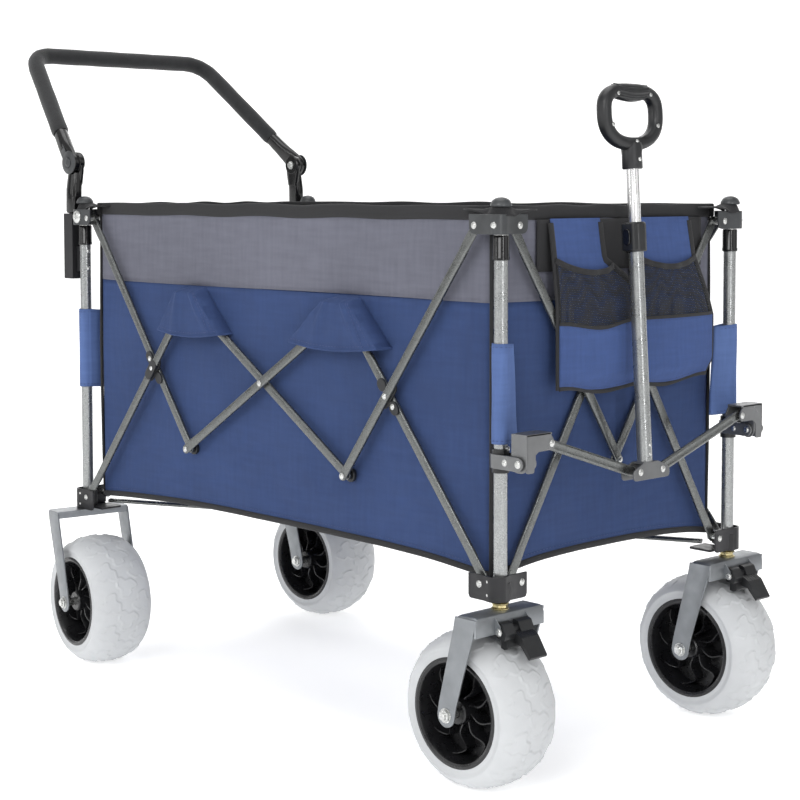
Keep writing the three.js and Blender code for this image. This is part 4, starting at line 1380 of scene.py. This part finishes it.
def push_handle():
    body = "push_handle"
    path, way = push_path(74)
    slope = Vector((way.x, 0, way.z))
    normal = Vector((0, 1, 0)).cross(slope.normalized())
    near_end, far_end = [Vector(path[a]).lerp(Vector(path[b]), 0.25) for a, b in ((0, 1), (-1, -2))]
    path = [path[0], near_end, *path[1:-1], far_end, path[-1]]

    def section(i):
        radius = 12.2 if i in (0, len(path) - 1) else 13.6 + 0.25 * math.sin(i * 2.1)
        return oval(2 * radius, 2 * radius, 32)

    build("push_foam_grip", [sweep(path, section, normal)], FOAM, body, [body], angle=60)
    for side, sy in SIDES:
        y = sy * POST_Y
        hub = Vector((PUSH_X, 0, KNUCKLE_Z))
        neck = []
        for d, width, thick in ((2, 34, 12), (14, 33, 13), (28, 29, 17), (44, 24.5, 21), (76, 22, 21)):
            centre = hub + slope * d + Vector((0, y + sy * (3.5 + way.y * d), 0))
            neck.append([tuple(centre + normal * u + Vector((0, v, 0)))
                         for u, v in oval(width, thick, 28, 2.6)])
        drum = knuckle_disc([(0, -1.4), (KNUCKLE_R - 0.4, -1.4), (KNUCKLE_R, 0), (KNUCKLE_R, 6.6),
                             (KNUCKLE_R - 1.2, 8.2), (0, 8.2)], sy, POST_Y, 48)
        build(f"push_knuckle_{side}", [drum, loft(neck)], GLOSSY, body, bevel=0.7)
        face = POST_Y + 8.2
        ring = knuckle_disc([(8.4, 0), (KNUCKLE_R + 1.5, 0), (KNUCKLE_R + 2, 0.8), (KNUCKLE_R, 2.2),
                             (8.4, 2.4)], sy, face, 48)
        strip_ends = [hub + slope * d for d in (12, 70)]
        outline = stadium((strip_ends[0].x, strip_ends[0].z), (strip_ends[1].x, strip_ends[1].z), 13)
        strip = plate(outline, on_side, sy * (face + 0.9), sy * (face + 2.4))
        lean_in = way.y / slope.length
        strip = [(x, y_at + sy * lean_in * max(0, (Vector((x, 0, z)) - hub).length - 12), z)
                 for x, y_at, z in strip[0]], strip[1]
        build(f"push_side_plate_{side}", [ring, outward(strip)], CHARCOAL, body,
              bevel=0.4)
        button = knuckle_disc([(0, 4), (7.8, 4), (7.8, 11), (6.6, 12), (3, 12.4), (0, 12.1)],
                              sy, POST_Y, 36)
        build(f"push_button_cap_{side}", [button], CHARCOAL, f"push_button_{side}",
              [f"push_button_{side}"])


for side, sy in SIDES:
    push_seat(side, sy)
    push_leg(side, sy)
push_handle()


# ---- fabric -----------------------------------------------------------------
REAR_ANCHOR = tuple(to_frame((-POST_X, -POST_Y, 0)))
fold = next(j for j in frame["joints"] if j["name"] == "fold")
FOLD_TRAVEL = fold["range_m"][1]


def shorten(piece):
    """Gives a fabric piece that runs along the cart its own copy of its mesh."""
    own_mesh(piece)


def narrow(piece):
    """Gives a fabric piece that runs across the cart its own copy of its mesh."""
    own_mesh(piece)


def cloth(name, point, columns, rows, material, body, fold_way=None, replaces=(), thick=CLOTH, wrap=False):
    """A sheet from point(u, v), with u along the cloth and v up it, thickened to one layer."""
    points = [point(i / (columns if wrap else columns - 1), j / (rows - 1))
              for j in range(rows) for i in range(columns)]
    faces = grid_faces(rows, columns, False, wrap)
    piece = build(name, [(points, faces)], material, body, replaces, angle=70)
    layer = piece.modifiers.new("layer", "SOLIDIFY")
    layer.thickness = thick * MM
    layer.offset = 0
    if fold_way:
        fold_way(piece)
    return piece


def trim(name, shells, body, fold_way=None, material=None):
    piece = build(name, shells, material or BINDING, body, angle=60)
    if fold_way:
        fold_way(piece)
    return piece


def stitches(name, points, body, fold_way=None, material=None, pitch=6.0, size=0.45):
    """A row of short raised threads along a run of points."""
    points = [Vector(p) for p in points]
    shells = []
    spent = 0.0
    for a, b in zip(points, points[1:]):
        length = (b - a).length
        if length < 0.01:
            continue
        way = (b - a) / length
        side = way.orthogonal().normalized()
        up = way.cross(side)
        while spent < length:
            start = a + way * spent
            ring = [side * size, up * size, -side * size, -up * size]
            shells.append(loft([[tuple(start + way * d + r * w) for r in ring]
                                for d, w in ((0, 0.3), (0.8, 1), (pitch * 0.5, 1), (pitch * 0.6, 0.3))]))
            spent += pitch
        spent -= length
    return trim(name, shells, body, fold_way, material or STITCH)


CORNER_R = 16
CORNER_END = CORNER_R * (1 - math.sin(math.pi / 4))


def rumple(a, b, seed, size=1.0):
    """Soft creases of hanging canvas, in millimetres."""
    wide = noise.noise(Vector((a / 210, b / 150, seed))) * 3.2
    folds = noise.noise(Vector((a / 70 + b / 190, b / 120, seed + 7))) * 1.6
    small = noise.noise(Vector((a / 26, b / 34, seed + 13))) * 0.5
    return (wide + folds + small) * size


def pulled(a, z, half, seed):
    """Creases that fan out from the two upper corners, where the cloth hangs from its posts."""
    total = 0
    for end in (-1, 1):
        u, v = half - end * a, TUB_TOP - z
        distance = math.hypot(u, v)
        bearing = math.atan2(v, max(u, 1))
        total += 1.9 * math.exp(-distance / 130) * math.sin(bearing * 11 + seed + end)
    return total


def dip(a, half):
    """The tub's lower edge hangs lower toward its corners."""
    return 15 * abs(a / half) ** 3


def wall_point(a, half, z, seed, slack=1.0):
    """(along, out) of a wall in plan: it rounds into its corners and swells a little between them."""
    over = abs(a) - (half - CORNER_R)
    turn_in = 0
    if over > 0:
        turn_in = CORNER_R - math.sqrt(max(0, CORNER_R ** 2 - over ** 2))
    share = smooth((half - CORNER_R - abs(a)) / 70)
    height = (z - TUB_FLOOR) / (TUB_TOP - TUB_FLOOR)
    belly = 3.2 * math.sin(math.pi * max(0, min(1, height))) * share
    crease = (rumple(a, z, seed, slack) + pulled(a, z, half, seed)) * mix(0.35, 1, share)
    crease *= smooth((TUB_TOP - z) / 60) * 0.85 + 0.15
    return a, belly + crease - turn_in


def wall(kind, way):
    """One wall's point(u, z), its half length and how far it runs before its corners."""
    along_x = kind == "side"
    half = TUB_X if along_x else TUB_Y
    base = TUB_Y if along_x else TUB_X
    seed = 3.1 * way + (0 if along_x else 20)
    reach = half - CORNER_END

    def point(u, z, lift=0.0):
        a = mix(-reach, reach, u)
        a, out = wall_point(a, half, z, seed)
        flat = way * (base + out + lift)
        return (a, flat, z) if along_x else (flat, a, z)

    return point, half, reach


WALLS = {
    "right": ("side", -1, "rear_right_slider", shorten),
    "left": ("side", 1, "rear_left_slider", shorten),
    "front": ("end", 1, "front_right_slider", narrow),
    "rear": ("end", -1, "rear_right_slider", narrow),
}


def tub_wall(name, kind, way, body, fold_way):
    """One wall of the tub: blue panel, grey band, rim binding, piping along the floor and stitching."""
    point, half, reach = wall(kind, way)
    columns = 90 if kind == "side" else 50
    steps = 61

    def floor_dip(u):
        return dip(mix(-reach, reach, u), half)

    def lower(u, v):
        return point(u, mix(TUB_FLOOR - floor_dip(u), BAND_Z, v))

    def band(u, v):
        return point(u, mix(BAND_Z + 0.5 - 0.8 * math.sin(7 * u), BINDING_Z + 3, v), 0.4)

    panel = cloth(f"tub_{name}_panel", lower, columns, 40, BLUE, body, fold_way,
                  ["fabric_tub"] if name == "right" else ())
    top_band = cloth(f"tub_{name}_band", band, columns, 14, GREY, body, fold_way)

    rim = []
    for k, u in enumerate(shares(steps)):
        x, y, _ = point(u, RIM_Z)
        rim.append((x, y, RIM_Z + 1.3 * math.sin(k * 0.5) * math.sin(math.pi * u)))
    for end, inner in ((0, 3), (-1, -4)):
        onward = (Vector(rim[end]) - Vector(rim[inner])).normalized()
        rim.insert(0 if end == 0 else len(rim), tuple(Vector(rim[end]) + onward * RIM_OVERLAP))
    trim(f"tub_{name}_rim_binding", [sweep(rim, oval(6, 19, 16, 3.4), (0, 0, 1))], body, fold_way)
    hem = [point(u, TUB_FLOOR - floor_dip(u)) for u in shares(steps)]
    trim(f"tub_{name}_floor_piping", [sweep(hem, oval(7.4, 8.6, 14, 2.4), (0, 0, 1))], body, fold_way)
    for row, z in enumerate((BAND_Z + 3.5, BINDING_Z + 2.5, TUB_FLOOR + 9)):
        run = [point(u, z - (floor_dip(u) if row == 2 else 0), CLOTH / 2 + 0.5) for u in shares(steps)]
        stitches(f"tub_{name}_stitches_{row}", run, body, fold_way, GREY if row == 0 else None)


for name, how in WALLS.items():
    tub_wall(name, *how)


# ---- corners of the tub -------------------------------------------------------
def edge_binding(corner, sx, sy):
    """Upright tape over the seam between two walls, bowed by the cloth's pull."""
    x = sx * (TUB_X - CORNER_END + 0.6)
    y = sy * (TUB_Y - CORNER_END + 0.6)
    edge = []
    for v in shares(25):
        z = mix(TUB_FLOOR - dip(1, 1), BINDING_Z + 12, v)
        bow = (4 if sx < 0 else 2.2) * math.sin(math.pi * v) + noise.noise(Vector((z / 60, sx, sy))) * 0.8
        edge.append((x + sx * bow * 0.6, y + sy * bow * 0.4, z))
    trim(f"{corner}_edge_binding", [sweep(edge, oval(9, 4.4, 16, 2.6), (sx, sy, 0))], f"{corner}_slider")


def rim_ear(corner, sx, sy):
    """Pointed leaf of binding cloth that the post's cap holds down on the bracket."""

    def ear(u, v):
        turn = 2 * math.pi * u
        c, s = math.cos(turn), math.sin(turn)
        tip_side = max(0, math.cos(turn - math.pi + 0.12)) ** 9
        tip_end = max(0, math.cos(turn + math.pi / 2 - 0.12)) ** 9
        tip_out = max(0, math.cos(turn - math.pi / 4)) ** 10
        tip_in = max(0, math.cos(turn + math.pi * 0.75)) ** 3
        radius = 18.5 + 34 * tip_side + 34 * tip_end + 2 * tip_out + 22 * tip_in
        r = radius * mix(0.05, 1, v)
        x = POST_X + c * r - 4 * v
        y = POST_Y + s * r - 4 * v
        outside = smooth((math.cos(turn - math.pi / 4) + 0.5) / 0.8)
        droop = mix(4.5, 12.5, outside) * smooth((r - 9) / 11)
        return (sx * x, sy * y, CAP_Z - 0.2 - droop + 0.6 * math.sin(5 * turn) * v)

    leaf_cloth = cloth(f"{corner}_rim_ear", ear, 72, 8, BINDING, f"{corner}_slider", wrap=True, thick=1.8)


def post_tab(corner, sx, sy):
    """Tab that wraps the post and closes on itself beside the tub's end wall."""
    wrap_r = 10.6

    def sleeve(u, v):
        reach_in = 29 + 4 * (1 - v)
        t = 2 * math.pi * u
        a = -wrap_r * math.cos(t)
        b = wrap_r * math.sin(t)
        if a > 0:
            pull = a / wrap_r
            a = reach_in * pull ** 1.3
            b = b * (1 - 0.5 * pull) - 6.0 * pull + 0.9 * math.copysign(1, math.sin(t))
        ruffle = 0.5 * math.sin(9 * v + 4 * u) + 0.5 * math.sin(3 * t)
        inward = max(0, a) / reach_in
        lean = 1.6 * (0.5 - v) * inward * 2
        z = mix(*TAB_Z, v) - 2.5 * inward
        return (sx * (POST_X + b + ruffle * 0.6), sy * (POST_Y - a - lean), z)

    tab = cloth(f"{corner}_post_tab", sleeve, 48, 26, TAB_BLUE, corner, wrap=True, thick=1.1)
    for row, v in enumerate((0.035, 0.965)):
        run = []
        for share in shares(29):
            x, y, z = sleeve((0.8 * share - 0.4) % 1, v)
            middle = Vector((sx * POST_X, sy * (POST_Y - 8), z))
            out = (Vector((x, y, z)) - middle).normalized() * 0.9
            run.append((x + out.x, y + out.y, z))
        stitches(f"{corner}_tab_stitches_{row}", run, corner)


for corner, (sx, sy) in CORNERS.items():
    edge_binding(corner, sx, sy)
    rim_ear(corner, sx, sy)
    post_tab(corner, sx, sy)


# ---- side flaps ---------------------------------------------------------------
# Flaps sewn over the upper scissor pivots on each long side.
FLAPS = {
    "rear": ((-192, -150), (-243, -84), "middle_falling"),
    "front": ((146, 192), (66, 256), "middle_rising"),
}
FLAP_Z = (612, 546)
FLAP_OUT = LONG_LAYERS["outer"] + BAR_T / 2 + 2.6 - TUB_Y


def flap_point(top, bottom, sy, seed):
    def point(u, v):
        x = mix(mix(top[0], bottom[0], v), mix(top[1], bottom[1], v), u)
        z = mix(FLAP_Z[0], FLAP_Z[1], v) - 7 * v * math.sin(math.pi * u)
        width = mix(top[1] - top[0], bottom[1] - bottom[0], v)
        sides = min(u, 1 - u) * width
        rise = smooth(sides / 4) * smooth((FLAP_Z[0] - z) / 9)
        ridge = 2.6 * math.exp(-((u - 0.22 - 0.1 * v) / 0.07) ** 2)
        ridge += 2.2 * math.exp(-((u - 0.72 - 0.14 * v) / 0.05) ** 2)
        soft = noise.noise(Vector((x / 30, z / 30, seed))) * 1.2
        out = 2.2 + (FLAP_OUT + ridge + soft + 3 * v * math.sin(math.pi * u)) * rise
        return (x, sy * (TUB_Y + out), z)
    return point


def side_flap(side, sy, name, top, bottom, bar):
    point = flap_point(top, bottom, sy, 2.0 if name == "rear" else 5.0)
    body = f"rear_{side}_slider"
    label = f"{side}_{name}_flap"
    flap = cloth(label, lambda u, v: point(u, 1 - v), 48, 26, BLUE, body, shorten, thick=1.0)

    def seam(name, places):
        run = [point(u, v) for u, v in places]
        stitches(name, [(x, y + sy * 0.9, z) for x, y, z in run], body, shorten)

    seam(f"{label}_stitches", [(0.03 + 0.94 * share, 0.93) for share in shares(33)])
    for row, u in enumerate((0.93, 0.87)):
        seam(f"{label}_edge_stitches_{row}", [(u, 0.12 + 0.8 * share) for share in shares(17)])
    hem = [point(share, 1.0) for share in shares(33)]
    trim(f"{label}_hem", [sweep(hem, oval(2.4, 3.4, 10), (0, 0, 1))], body, shorten, material=BLUE)


for side, sy in SIDES:
    for name, how in FLAPS.items():
        side_flap(side, sy, name, *how)


# ---- front pockets ----------------------------------------------------------
# Each pocket's strap (two edges, and the drop over which it widens) and pouch (two edges).
POCKETS = {
    "right": ((-128, -31, 34), (-128, 22)),
    "left": ((33, 158, 84), (33, 192)),
}
POCKET_TOP = 664
NET_Z = 583
POCKET_BOTTOM = 498
POCKET_BACK = 460.5


def pocket(name, strap, pouch):
    body = "front_right_slider"
    seed = strap[0] / 50
    leaning = name == "right"

    def edges(z):
        spread = min(1, max(0, (POCKET_TOP - z) / strap[2]))
        tuck = 16 * (not leaning) * smooth((POCKET_BOTTOM + 26 - z) / 26)
        return mix(strap[0], pouch[0], spread), mix(strap[1], pouch[1], spread) - tuck

    def plane_x(z):
        """The pocket hangs from the rim binding and leans out over the bars."""
        return POCKET_BACK - 15.5 * max(0, (z - 606) / 112) ** 1.25

    def back(u, v):
        z = mix(POCKET_BOTTOM, 718, v)
        low, high = edges(z)
        x = plane_x(z) + 1.2 * noise.noise(Vector((u * 3, z / 60, seed)))
        return (x, mix(low, high, u), z)

    panel = cloth(f"{name}_pocket_back", back, 30, 40, POUCH_BLUE, body, narrow, thick=1.0)

    def front(u, z):
        low, high = edges(z)
        height = (z - POCKET_BOTTOM) / (POCKET_TOP - POCKET_BOTTOM)
        across = math.sin(math.pi * u) ** 0.55
        fill = mix(9.5, 5.5, smooth(height)) * smooth((z - POCKET_BOTTOM + 4) / 22)
        gathers = 1.7 * math.sin(u * 26 + 3 * math.sin(height * 3 + seed)) * smooth((height - 0.35) / 0.5)
        soft = 1.6 * noise.noise(Vector((u * 4, z / 34, seed)))
        return (plane_x(z) + 1.6 + (fill + gathers * 0.6 + soft) * across, mix(low, high, u), z)

    def net(u, v):
        sag = 12 * math.sin(math.pi * u) + 9 * u * (1 if leaning else 0.3)
        return front(u, mix(NET_Z - 2 - 8 * math.sin(math.pi * u) ** 2 * leaning, POCKET_TOP - sag, v))

    def pouch_front(u, v):
        sag = 7 * math.sin(math.pi * u) ** 2 + 3 * math.sin(5 * u + seed)
        x, y, z = front(u, mix(POCKET_BOTTOM - sag, NET_Z - 8 * math.sin(math.pi * u) ** 2 * leaning, v))
        tuck = 1 - smooth((z - POCKET_BOTTOM + 6) / 10)
        return (x - 3.5 * tuck * math.sin(math.pi * u), y, z)

    mesh_front = cloth(f"{name}_pocket_net", net, 60, 22, NET, body, narrow, thick=0.6)
    fabric_front = cloth(f"{name}_pocket_pouch", pouch_front, 48, 26, POUCH_BLUE, body, narrow, thick=1.1)
    tapes = ((net, 1.0, 4, 8), (pouch_front, 1.0, 2.2, 5), (pouch_front, 0.0, 3.2, 6))
    shells = [sweep([place(u, v) for u in shares(33)], oval(wide, thick, 12, 2.6), (0, 0, 1))
              for place, v, wide, thick in tapes]
    for u in (0, 1):
        shells.append(sweep([back(u, k / 40) for k in range(40)], oval(10, 3, 12, 2.8), (1, 0, 0)))
    trim(f"{name}_pocket_binding", shells, body, narrow)
    for row, v in enumerate((0.06, 0.95)):
        run = [pouch_front(0.04 + 0.92 * share, v) for share in shares(25)]
        stitches(f"{name}_pocket_stitches_{row}", [(x + 0.9, y, z) for x, y, z in run], body, narrow)


for name, (strap, pouch) in POCKETS.items():
    pocket(name, strap, pouch)


def facing_and_shade_point(u, v):
    """Black facing that the two pocket straps are sewn to; the black sheet also stands in for the shade on
    the front wall's grey band there (painted shade).
    """
    y = mix(-150, 190, u)
    return (TUB_X + 5.4 + 0.3 * noise.noise(Vector((y / 30, v * 2, 4))), y, mix(650, 717, v))


# Partly a real facing and partly painted shade: a black sheet over the grey band behind the pull handle.
facing = cloth("pocket_facing_and_painted_shade", facing_and_shade_point, 60, 12, BINDING, "front_right_slider", narrow, thick=1.0)


# ---- tub floor --------------------------------------------------------------
# The floor is a sewn mat of five boards. The outer ones follow the posts, and the middle one the web.
HALF_LEFT = (2 * TUB_X - FOLD_TRAVEL / MM) / 2
BOARD_X = TUB_X - 2 * HALF_LEFT
BOARD_Y = 60
FLOOR_T = 6


def board(name, x0, x1, y0, y1, body, fold_way=None):
    """A soft board with pinched seams all round and a slight crown."""
    columns, rows = 26, 18

    def eased(i, count):
        """Places along the board, closer together towards its seams."""
        return (1 - math.cos(math.pi * i / (count - 1))) / 2

    def height(u, v):
        edge = min(u * (x1 - x0), (1 - u) * (x1 - x0), v * (y1 - y0), (1 - v) * (y1 - y0))
        return 1.0 + (FLOOR_T / 2 - 1.0) * smooth(edge / 14)

    points = []
    for way in (-1, 1):
        for j in range(rows):
            for i in range(columns):
                u, v = eased(i, columns), eased(j, rows)
                x, y = mix(x0, x1, u), mix(y0, y1, v)
                soft = 0.35 * noise.noise(Vector((x / 40, y / 40, 3)))
                points.append((x, y, TUB_FLOOR + FLOOR_T / 2 + way * (height(u, v) + soft * (way > 0))))
    top = columns * rows
    faces = [face[::-1] for face in grid_faces(rows, columns)]
    faces += [[i + top for i in face] for face in grid_faces(rows, columns)]
    loop = list(range(columns)) + [j * columns + columns - 1 for j in range(1, rows)]
    loop += [(rows - 1) * columns + i for i in range(columns - 2, -1, -1)]
    loop += [j * columns for j in range(rows - 2, 0, -1)]
    for a, b in zip(loop, loop[1:] + loop[:1]):
        faces.append([a, b, b + top, a + top])
    piece = build(name, [outward((points, faces))], LINING, body, angle=60)
    if fold_way:
        fold_way(piece)


edge_x, edge_y = TUB_X - 2.5, TUB_Y - 2.5
board("floor_board_right", -edge_x, edge_x, -edge_y, -BOARD_Y, "rear_right_slider", shorten)
board("floor_board_left", -edge_x, edge_x, BOARD_Y, edge_y, "rear_left_slider", shorten)
board("floor_board_front", BOARD_X, edge_x, -BOARD_Y, BOARD_Y, "front_right_slider", narrow)
board("floor_board_rear", -edge_x, -BOARD_X, -BOARD_Y, BOARD_Y, "rear_right_slider", narrow)
board("floor_board_middle", -BOARD_X, BOARD_X, -BOARD_Y, BOARD_Y, "floor_web")


# ---- stage, lights and camera -----------------------------------------------
def stage():
    """White paper on the ground that curves up behind the cart."""
    mesh = bpy.data.meshes.new("studio_floor")
    size = 14
    sweep_from, radius = 3.4, 2.2
    rows = [(-size, 0)]
    for share in shares(13):
        turn = math.pi / 2 * share
        rows.append((sweep_from + radius * math.sin(turn), radius * (1 - math.cos(turn))))
    rows.append((sweep_from + radius, 9))
    back = Vector((-0.73, 0.685, 0))    # away from the camera
    side = Vector((0.685, 0.73, 0))
    points = [back * run + side * across + Vector((0, 0, height))
              for run, height in rows for across in (-size, size)]
    faces = [[2 * i, 2 * i + 1, 2 * i + 3, 2 * i + 2] for i in range(len(rows) - 1)]
    mesh.from_pydata(points, [], faces)
    mesh.shade_smooth()
    floor = bpy.data.objects.new("studio_floor", mesh)
    bpy.context.scene.collection.objects.link(floor)
    paper = Shader("studio_paper", (0.97, 0.97, 0.97), 0.9)
    paper.shader.inputs["Emission Color"].default_value = (1, 1, 1, 1)
    paper.shader.inputs["Emission Strength"].default_value = 0.4
    mesh.materials.append(paper.material)


def area_light(name, place, target, power, width, height, color=(1, 1, 1)):
    data = bpy.data.lights.new(name, "AREA")
    data.energy = power
    data.shape = "RECTANGLE"
    data.size = width
    data.size_y = height
    data.color = color
    lamp = bpy.data.objects.new(name, data)
    bpy.context.scene.collection.objects.link(lamp)
    lamp.location = place
    lamp.rotation_euler = (Vector(target) - Vector(place)).to_track_quat("-Z", "Y").to_euler()


def studio():
    """Soft boxes round the cart and a sky that is brightest towards the camera's left."""
    stage()
    middle = (0, 0, 0.45)
    area_light("key", (1.7, -3.2, 2.3), middle, 52, 2.0, 1.6)
    area_light("fill", (3.2, 1.6, 1.6), middle, 10, 2.4, 2.0)
    area_light("side", (-2.2, -3.0, 1.6), middle, 9, 1.6, 1.6)
    area_light("streak", (2.4, -0.7, 1.1), (0.2, -0.1, 0.5), 9, 0.16, 1.6)
    area_light("streak_left", (-0.6, -2.8, 1.1), (0, 0, 0.5), 6, 0.16, 1.6)
    area_light("top", (0, 0, 3.4), middle, 40, 2.4, 2.4)
    area_light("back", (-2.6, 2.4, 2.4), middle, 20, 2.4, 1.6)
    world = bpy.data.worlds.new("studio_world")
    world.use_nodes = True
    background = world.node_tree.nodes["Background"]
    background.inputs["Color"].default_value = (1, 1, 1, 1)
    tree = world.node_tree
    toward_light = tree.nodes.new("ShaderNodeVectorMath")
    toward_light.operation = "DOT_PRODUCT"
    tree.links.new(tree.nodes.new("ShaderNodeTexCoord").outputs["Generated"], toward_light.inputs[0])
    toward_light.inputs[1].default_value = Vector((0.45, -0.7, 0.55)).normalized()
    grade = tree.nodes.new("ShaderNodeMapRange")
    grade.interpolation_type = "SMOOTHSTEP"
    for socket, value in (("From Min", -0.35), ("From Max", 0.85), ("To Min", 0.1), ("To Max", 0.62)):
        grade.inputs[socket].default_value = value
    tree.links.new(toward_light.outputs["Value"], grade.inputs["Value"])
    tree.links.new(grade.outputs["Result"], background.inputs["Strength"])
    bpy.context.scene.world = world
    bpy.context.scene.view_settings.view_transform = "Standard"


CAMERA_AT = (1.9901, -1.8461, 0.7536)
CAMERA_YAW = 0.8156
CAMERA_PITCH = -0.0606
CAMERA_ROLL = 0.0012
CAMERA_LENS = 80.85
CAMERA_SHIFT = -0.125


def camera():
    data = bpy.data.cameras.new("camera")
    data.lens = CAMERA_LENS
    data.sensor_width = 36
    data.shift_y = CAMERA_SHIFT
    eye = bpy.data.objects.new("camera", data)
    bpy.context.scene.collection.objects.link(eye)
    eye.location = Vector(CAMERA_AT) + SHIFT
    eye.rotation_euler = (math.pi / 2 + CAMERA_PITCH, CAMERA_ROLL, CAMERA_YAW)
    bpy.context.scene.camera = eye


studio()
camera()
